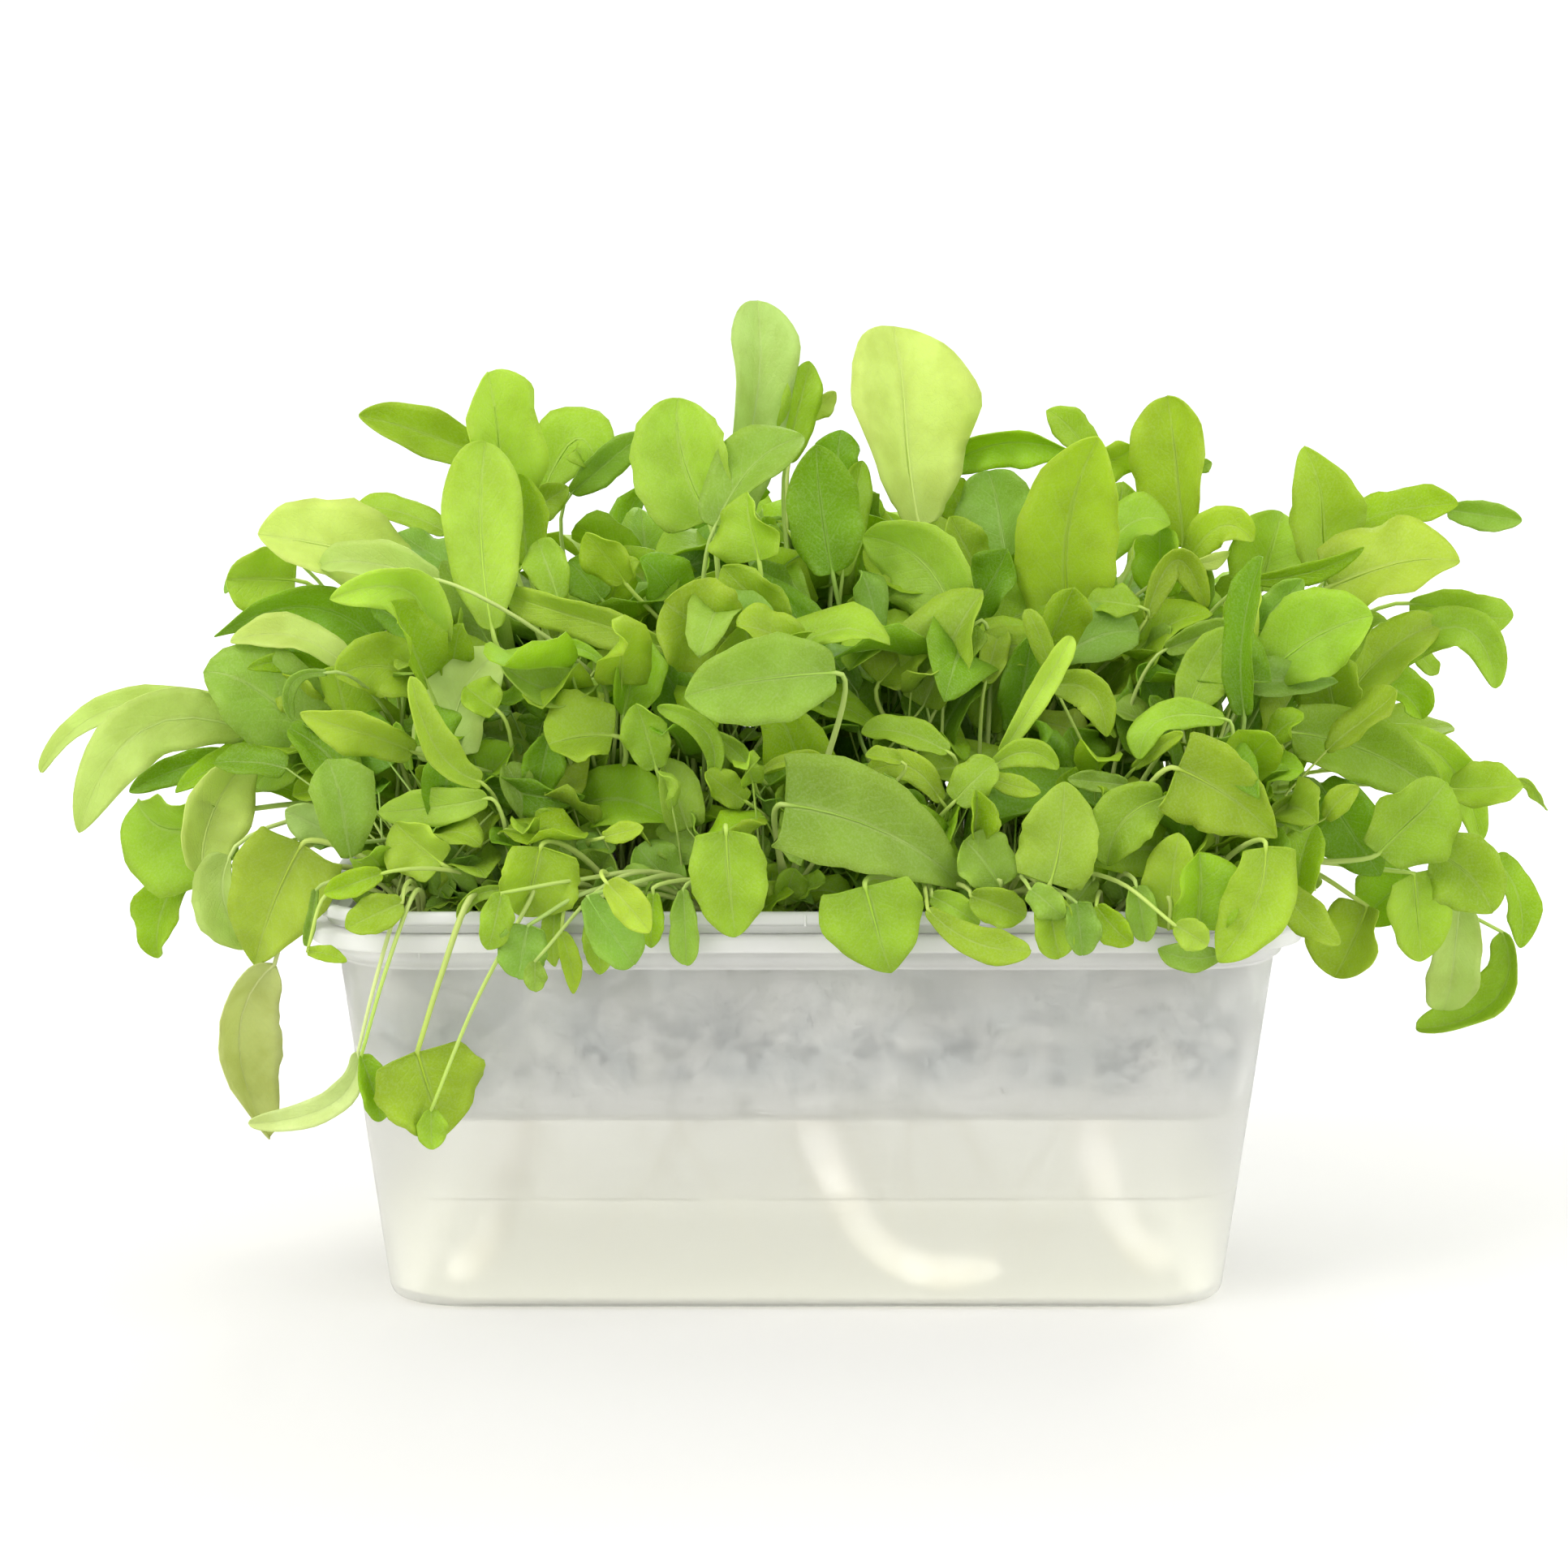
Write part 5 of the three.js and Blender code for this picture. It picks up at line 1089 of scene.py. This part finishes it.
def leafRails(name, leafList, stations, seed, stalkScale=1.0):
    random = randomStream(seed)
    rails = []
    fields = {k: ("FLOAT_VECTOR", []) for k in ("spine", "side", "lift", "sway", "back", "upward")}
    fields.update({k: ("FLOAT", []) for k in ("along", "thick", "isStalk", "leafSeed")})
    fields["tone"] = ("FLOAT_COLOR", [])

    def keep(rail, **values):  # a list has one value a point, and anything else holds for the whole rail
        rails.append(rail)
        for key, (_, lists) in fields.items():
            value = values.get(key, np.zeros(3))
            lists.append(value if isinstance(value, list) else [value] * len(rail))

    for leaf in leafList:
        tone, leafSeed = leafTone(leaf["tone"], random), random()
        sheet = bladeRail(leaf, stations, random)
        spine = sheet.pop("spine")
        keep(spine, spine=[p * mm for p in spine], thick=0.0, isStalk=0.0, leafSeed=leafSeed, tone=tone, **sheet)
        rib = [(p - u * 0.34, s) for p, u, s in zip(spine, sheet["upward"], stations) if 0.05 < s < 0.8][::2]
        stalk = len(leaf["course"])
        sturdy = stalkScale * (0.7 + 0.5 * min(leaf["width"] / 26, 1))
        r, top = growth["stalkRadius"] * sturdy, leafLook["stalkTop"] * sturdy
        thick = [(r * 1.25 + (top - r * 1.25) * (i / (stalk - 1)) ** 0.6) * mm for i in range(stalk)]
        thick += [top * 0.8 * max(0.85 - s, 0.15) * min(1, leaf["width"] / 14) * mm for p, s in rib]
        along = [i / (stalk - 1) for i in range(stalk)] + [1.6] * len(rib)
        keep(leaf["course"] + [p for p, s in rib], along=along, thick=thick, isStalk=1.0, leafSeed=leafSeed,
             tone=tone)
    return railObject(name, rails, fields)


def makeLeafTree():  # spreads a closed leaf sheet from each midline, and a round stalk along each stalk line
    tree, given, result = newTree("Geometry", "sorrel leaves", [
        ("Geometry", "Geometry"), ("Points Across", "Int", 9), ("Stalk Sides", "Int", 7),
        ("Thickness", "Float", 0.0004), ("Crinkle", "Float", 0.1), ("Blade Material", "Material"),
        ("Stalk Material", "Material"),
    ], [("Geometry", "Geometry")])

    def vectorField(name):
        return named(tree, name, "FLOAT_VECTOR")

    isStalk = calc(tree, "GREATER_THAN", named(tree, "isStalk"), 0.5)
    parts = put(tree, "GeometryNodeSeparateGeometry", {
        "Geometry": given["Geometry"], "Selection": isStalk}, domain="POINT").outputs

    # blades
    midline = put(tree, "GeometryNodeMeshToCurve", {"Mesh": parts["Inverted"]}).outputs[0]
    line = put(tree, "GeometryNodeCurvePrimitiveLine", {"Start": (-1, 0, 0), "End": (1, 0, 0)}).outputs[0]
    line = put(tree, "GeometryNodeResampleCurve", {"Curve": line, "Count": given["Points Across"]}).outputs[0]
    line = put(tree, "GeometryNodeStoreNamedAttribute", {
        "Geometry": line, "Name": "across", "Value": axisOf(tree, pointValue(tree, "Position"), 0)},
        data_type="FLOAT", domain="POINT").outputs[0]
    sheet = put(tree, "GeometryNodeCurveToMesh", {"Curve": midline, "Profile Curve": line}).outputs[0]
    across = named(tree, "across")
    outward = calc(tree, "ABSOLUTE", across)
    place = vectorField("spine")
    for name, amount in (("side", across), ("lift", calc(tree, "POWER", outward, 1.3)),
                         ("sway", times(tree, across, outward)), ("back", calc(tree, "POWER", outward, 1.6))):
        place = vectorCalc(tree, "ADD", place, vectorCalc(tree, "SCALE", vectorField(name), amount))
    sheet = put(tree, "GeometryNodeSetPosition", {"Geometry": sheet, "Position": place}).outputs[0]
    half = put(tree, "ShaderNodeVectorMath", {0: vectorField("side")}, operation="LENGTH").outputs[1]
    ripple = times(tree, less(tree, noise(tree, pointValue(tree, "Position"), 130.0, 2.0), 0.5), 2.0)
    crinkle = times(tree, ripple, times(tree, given["Crinkle"], half))
    crinkle = times(tree, crinkle, add(tree, 0.5, outward))
    keel = times(tree, spread(tree, outward, 0.0, 0.22, -0.045, 0.0), half)
    sheet = moved(tree, sheet, vectorCalc(tree, "SCALE", vectorField("upward"), add(tree, crinkle, keel)))
    under = put(tree, "GeometryNodeFlipFaces", {0: sheet}).outputs[0]
    upper = put(tree, "GeometryNodeExtrudeMesh", {
        "Mesh": sheet, "Offset Scale": given["Thickness"], "Individual": False}, mode="FACES").outputs[0]
    blades = put(tree, "GeometryNodeMergeByDistance", {
        "Geometry": joined(tree, under, upper), "Distance": 0.000004}).outputs[0]

    # stalks and midribs
    stalks = strands(tree, parts["Selection"], given["Stalk Sides"])
    return endTree(tree, result, joined(tree, blades, stalks), (True, given["Blade Material"]),
                   (isStalk, given["Stalk Material"]))


def makeVeinGroup():  # midrib, side veins and the fine net of a leaf, from its own along and across values
    tree, given, result = newTree("Shader", "leaf veins", [
        ("Side Veins", "Float", 8.0), ("Slant", "Float", 0.3), ("Net Scale", "Float", 700.0),
    ], [(name, "Float") for name in ("Vein", "Net", "Height", "Patch", "Speckle")])
    along, seed = field(tree, "along"), field(tree, "leafSeed")
    outward = calc(tree, "ABSOLUTE", field(tree, "across"))
    ribWidth = add(tree, 0.03, times(tree, less(tree, 1.0, along), 0.06))
    rib = spread(tree, calc(tree, "DIVIDE", outward, ribWidth), 0.5, 1.4, 1.0, 0.0)
    rise = less(tree, along, times(tree, calc(tree, "POWER", outward, 0.8), given["Slant"]))
    phase = add(tree, times(tree, rise, given["Side Veins"]), seed)
    stripe = calc(tree, "ABSOLUTE", less(tree, calc(tree, "FRACT", phase), 0.5))
    side = times(tree, spread(tree, stripe, 0.03, 0.13, 1.0, 0.0), spread(tree, outward, 0.35, 0.9, 0.32, 0.0))
    place = objectPlace(tree)
    cells = put(tree, "ShaderNodeTexVoronoi", {"Vector": place, "Scale": given["Net Scale"]},
                feature="DISTANCE_TO_EDGE").outputs["Distance"]
    net, patch = spread(tree, cells, 0.0, 0.12, 1.0, 0.0), noise(tree, place, 95.0, 3.0)
    vein = calc(tree, "MAXIMUM", rib, side)
    height = add(tree, times(tree, vein, -0.7), times(tree, net, -0.22))
    height = add(tree, height, times(tree, patch, 0.5))
    speckle = spread(tree, noise(tree, place, 1500.0, 2.0), 0.42, 0.68)
    for name, value in (("Vein", vein), ("Net", net), ("Height", height), ("Patch", patch), ("Speckle", speckle)):
        feed(tree, result[name], value)
    return tree


# rim is a painted highlight: the colour screened over the blade towards its edges
blade = {
    "shade": "#7f9a3a", "rim": "#5a6414", "wax": "#d3e3a0", "speckle": 0.15, "veinTint": "#dfe9a4", "net": 0.05,
    "vein": 0.2, "deep": 0.86, "roughness": 0.46, "glow": 0.4, "glowTint": "#cfe23c",
}
stalkLook = {"foot": "#e2ec98", "streak": "#b9cf72", "glow": 0.22}


def makeBladeMaterial():
    material, tree = newMaterial("sorrel blade")
    veins = put(tree, "ShaderNodeGroup", {"Side Veins": 9.0, "Slant": 0.34, "Net Scale": 650.0},
                node_tree=makeVeinGroup()).outputs
    tone, deep = field(tree, "tone", "Color"), blade["deep"]
    deeper = blendColours(tree, 1.0, tone, (deep, deep, deep * 0.85, 1), "MULTIPLY")
    base = blendColours(tree, spread(tree, veins["Patch"], 0.35, 0.7), tone, deeper)
    foot = spread(tree, field(tree, "along"), 0.0, 0.35, 0.22, 0.0)
    # painted highlight: the blade turns lighter towards its edges
    edge = spread(tree, calc(tree, "ABSOLUTE", field(tree, "across")), 0.3, 1.0, 0.0, 0.3)
    for amount, tint, mode in ((foot, "shade", "MULTIPLY"), (edge, "rim", "SCREEN"),
                               (times(tree, veins["Speckle"], blade["speckle"]), "wax", "MIX"),
                               (times(tree, veins["Net"], blade["net"]), "veinTint", "MIX"),
                               (times(tree, veins["Vein"], blade["vein"]), "veinTint", "MIX")):
        base = blendColours(tree, amount, base, colour(blade[tint]), mode)
    rough = spread(tree, veins["Patch"], 0.3, 0.7, blade["roughness"] - 0.06, blade["roughness"] + 0.1)
    normal = bumped(tree, veins["Height"], 0.6, 0.0003)
    body = principled(tree, {"Base Color": base, "Roughness": rough, "Specular IOR Level": 0.3, "Normal": normal})
    through = blendColours(tree, 0.55, base, colour(blade["glowTint"]))
    return endMaterial(material, letThrough(tree, blade["glow"], body, {"Color": through, "Normal": normal}))


def makeStalkMaterial():
    material, tree = newMaterial("sorrel stalk")
    grain = putGrain(tree, 60.0, 900.0, (1.0, 1.0, 0.25))
    base = blendColours(tree, spread(tree, field(tree, "along"), 0.0, 1.6, 0.1, 1.0), colour(stalkLook["foot"]),
                        field(tree, "tone", "Color"))
    base = blendColours(tree, spread(tree, grain["Cloud"], 0.4, 0.7, 0.0, 0.4), base, colour(stalkLook["streak"]))
    body = principled(tree, {"Base Color": base, "Roughness": spread(tree, grain["Grain"], 0.3, 0.7, 0.34, 0.5),
                             "Normal": bumped(tree, grain["Grain"], 0.25, 0.0002)})
    return endMaterial(material, letThrough(tree, stalkLook["glow"], body, {"Color": base}))


leafTree = makeLeafTree()
bladeMaterial, stalkMaterial = makeBladeMaterial(), makeStalkMaterial()


def spreadLeaves(thing, pointsAcross, stalkSides, thickness):
    applyTree(thing, leafTree, {
        "Points Across": pointsAcross, "Stalk Sides": stalkSides, "Thickness": thickness * mm,
        "Crinkle": leafLook["crinkle"], "Blade Material": bladeMaterial, "Stalk Material": stalkMaterial})
    for name in ("spine", "side", "lift", "sway", "back", "upward", "thick", "isStalk"):
        layer = thing.data.attributes.get(name)
        if layer:  # only what the materials read stays on the mesh
            thing.data.attributes.remove(layer)


for row in range(growth["rows"]):
    own = [leaf for leaf in leaves if leaf["crown"] // growth["columns"] == row]
    thing = leafRails(f"sorrel_row_{row + 1}", own, leafLook["stations"], 300 + row)
    spreadLeaves(thing, leafLook["across"], leafLook["stalkSides"], leafLook["thickness"])
    first = row * growth["columns"]
    settle(thing, "leaf", *[f"plant_{first + i + 1:02d}" for i in range(growth["columns"])])

# Smaller leaves fill in between: young ones everywhere, shaded ones inside, and a low fringe along the rim.
bands = {
    "young_leaves": {"count": 250, "seed": 7001, "sizes": (11, 28), "tones": "nnyndmgy", "feet": (-90, 90),
                     "low": 5, "drop": 0.75, "widths": (0.45, 0.7), "reach": 20, "high": 0.8, "span": (176, 112)},
    "tall_leaves": {"count": 56, "seed": 8101, "sizes": (20, 36), "tones": "nmngynmn", "feet": (-52, 5),
                    "low": 62, "drop": 0.2, "widths": (0.4, 0.56), "reach": 26, "high": 0.7, "span": (170, 112),
                    "stalks": 0.85},
    "inner_leaves": {"count": 270, "seed": 7302, "sizes": (24, 48), "tones": "mdnmgnmd", "feet": (-56, 90),
                     "low": 14, "drop": 0.5, "widths": (0.42, 0.62), "reach": 34, "high": 0.65, "span": (190, 118)},
    "back_leaves": {"count": 150, "seed": 7907, "sizes": (26, 44), "tones": "dnmgdnmn", "feet": (10, 90),
                    "low": 60, "drop": 0.3, "widths": (0.42, 0.6), "reach": 16, "high": 0.4, "span": (150, 110)},
    "side_leaves": {"count": 290, "seed": 8303, "sizes": (14, 30), "tones": "nmdngmnd", "feet": (-90, 90),
                    "ends": 92, "low": 5, "drop": 0.3, "widths": (0.45, 0.65), "reach": 38, "high": 1.4,
                    "span": (180, 104)},
    "low_leaves": {"count": 190, "seed": 7603, "sizes": (9, 16), "tones": "gnmgnymg", "feet": (-90, -40),
                   "low": 2, "drop": 2.2, "widths": (0.6, 0.85), "reach": 12, "high": 1.0, "span": (150, 96)},
}

canopy = {"top": 206, "fall": 46, "half": 150, "middle": -5, "frontLimit": 214, "backLimit": 236, "backFall": 50,
          "stray": 24, "arch": (0.02, 0.14), "pitch": 1.7, "twist": 60, "wave": 0.3, "clear": 9}


def bandLeaf(band, random):
    place = crowns[int(random() * len(crowns))]
    while not (band["feet"][0] < place[1] < band["feet"][1] and abs(place[0]) > band.get("ends", 0)):
        place = crowns[int(random() * len(crowns))]
    foot = place + np.array([(random() - 0.5) * canopy["stray"], (random() - 0.5) * canopy["stray"], -1.0])
    heading = random() * 2 * math.pi
    along = np.array([math.cos(heading), math.sin(heading), 0.0])
    ceiling = canopy["top"] - canopy["fall"] * (place[0] / canopy["half"]) ** 2
    ceiling -= max(0, canopy["middle"] - place[1]) * band["drop"]
    base = foot + along * (2 + band["reach"] * random())
    base[2] = soil["level"] + band["low"] + max(ceiling - soil["level"] - band["low"], 8) * random() ** band["high"]
    shortest, longest = band["sizes"]
    length = shortest + (longest - shortest) * random() ** 1.3
    pitch = (random() - 0.2) * canopy["pitch"]
    tip = base + along * length * math.cos(pitch) + np.array([0, 0, length * math.sin(pitch)])
    flattest, arching = canopy["arch"]
    middle = (base + tip) / 2 + np.array([0, 0, length * (flattest + arching * random())])
    shape = ("oval", "round", "spoon", "oval", "heart", "strap", "folded", "arrow")[int(random() * 8)]
    least, most = band["widths"]
    width = length * (least + (most - least) * random()) * (0.5 if shape == "strap" else 1)
    towards = np.array([(random() - 0.5) * 300, -420.0 * random() * (1 if place[1] < 30 else -0.6), 260.0])
    rising = foot + np.array([0, 0, (base[2] - foot[2]) * 0.5])
    course = [bowed(foot, rising, base, t) for t in (0, 0.25, 0.5, 0.75, 1)]
    return {"shape": shape, "tone": band["tones"][int(random() * 8)], "base": base, "middle": middle, "tip": tip,
            "width": width, "turn": (random() - 0.5) * canopy["twist"], "fold": 0.1 + 0.3 * random(),
            "course": course, "wave": (random() - 0.5) * canopy["wave"], "facing": base + towards}


def bandFits(leaf, band):
    tip, wide, deep = leaf["tip"], *band["span"]
    bulge = canopy["backLimit"] - canopy["backFall"] * (leaf["base"][0] / canopy["half"]) ** 2
    top = canopy["frontLimit"] if leaf["base"][1] < 20 else bulge
    if tip[2] < soil["level"] + 4 or tip[2] > top or abs(tip[0]) > wide or abs(tip[1]) > deep:
        return False
    points = (leaf["base"], leaf["middle"], tip)
    if any(outsideRim(p[0], p[1]) > -canopy["clear"] and p[2] < tub["lipTop"] + 4 for p in points):
        return False
    return all(outsideRim(p[0], p[1]) < -canopy["clear"] or p[2] > tub["lipTop"] + 2 for p in leaf["course"])


for name, band in bands.items():
    random, found = randomStream(band["seed"]), []
    while len(found) < band["count"]:
        leaf = bandLeaf(band, random)
        if bandFits(leaf, band):
            found.append(leaf)
    piece = leafRails(name, found, leafLook["smallStations"], band["seed"] % 1000, band.get("stalks", 0.55))
    spreadLeaves(piece, leafLook["smallAcross"], leafLook["smallStalkSides"], leafLook["smallThickness"])
    settle(piece, "leaf")
print("plants done")


# Plain pale backdrop, greyer near the middle with painted shade, and soft light.
stage = {"flat": 2.2, "rise": 1.2, "wall": 1.2, "near": "#dddcda", "far": "#fbfbfc",
         "mottle": "#8c8b87", "around": 72, "sky": (1.0, 1.0, 0.99, 1), "skyStrength": 0.95}


def makeStage():
    profile = [(0.0, 0.0), (0.5, 0.0), (1.2, 0.0), (stage["flat"], 0.0)]
    profile += [(stage["flat"] + stage["rise"] * math.sin(a), stage["rise"] * (1 - math.cos(a)))
                for a in (math.pi / 2 * k / 10 for k in range(1, 11))]
    profile.append((stage["flat"] + stage["rise"], stage["rise"] + stage["wall"]))
    count = stage["around"]
    vertices = [(0, 0, 0)]
    for radius, z in profile[1:]:
        vertices += [(radius * math.cos(2 * math.pi * i / count), radius * math.sin(2 * math.pi * i / count), z)
                     for i in range(count)]
    faces = [(0, 1 + i, 1 + (i + 1) % count) for i in range(count)]
    for level in range(len(profile) - 2):
        for i in range(count):
            a, b = 1 + level * count + i, 1 + level * count + (i + 1) % count
            faces.append((a, a + count, b + count, b))
    thing = meshObject("backdrop", vertices, faces)
    thing.data.shade_smooth()
    material, tree = newMaterial("paper backdrop")
    grain = putGrain(tree, 1.2, 60.0)
    distance = put(tree, "ShaderNodeVectorMath", {0: objectPlace(tree)}, operation="LENGTH").outputs["Value"]
    # painted shade: greyer close to the tub, whiter far off
    base = blendColours(tree, spread(tree, distance, 0.4, 2.6), colour(stage["near"]), colour(stage["far"]))
    base = blendColours(tree, times(tree, grain["Cloud"], 0.015), base, colour(stage["mottle"]))
    thing.data.materials.append(endMaterial(material, principled(tree, {
        "Base Color": base, "Roughness": 0.85, "Specular IOR Level": 0.2})))
    return thing


makeStage()

world = bpy.data.worlds.new("studio")
bpy.context.scene.world = world
world.use_nodes = True
sky = world.node_tree.nodes["Background"]
sky.inputs["Color"].default_value = stage["sky"]
sky.inputs["Strength"].default_value = stage["skyStrength"]


def softbox(name, place, towards, size, power, tint):
    data = bpy.data.lights.new(name, "AREA")
    data.shape = "RECTANGLE"
    data.size, data.size_y = size
    data.energy = power
    data.color = tint
    lamp = newObject(name, data)
    lamp.location = place
    aim = np.array(towards) - np.array(place)
    lamp.rotation_euler = Vector(aim).to_track_quat("-Z", "Y").to_euler()


softbox("key softbox", (-1.3, -1.1, 1.7), (0, 0, 0.15), (1.4, 1.0), 26, (1.0, 0.99, 0.97))
softbox("fill softbox", (1.6, -0.9, 1.2), (0, 0, 0.12), (1.2, 1.2), 12, (0.98, 0.99, 1.0))
softbox("back softbox", (0.3, 1.7, 1.5), (0, 0, 0.15), (1.6, 1.0), 26, (1.0, 1.0, 0.98))

photo = {"lens": 100, "sensor": 36, "tilt": 8, "clip": (0.05, 30)}
cameraData = bpy.data.cameras.new("photo camera")
cameraData.lens, cameraData.sensor_width = photo["lens"], photo["sensor"]
cameraData.clip_start, cameraData.clip_end = photo["clip"]
camera = newObject("photo camera", cameraData)
camera.location = eye * mm
camera.rotation_euler = (math.radians(90 - photo["tilt"]), 0, 0)
bpy.context.scene.camera = camera
bpy.context.scene.view_settings.view_transform = "Standard"
bpy.context.scene.view_settings.look = "None"

print("scene done")
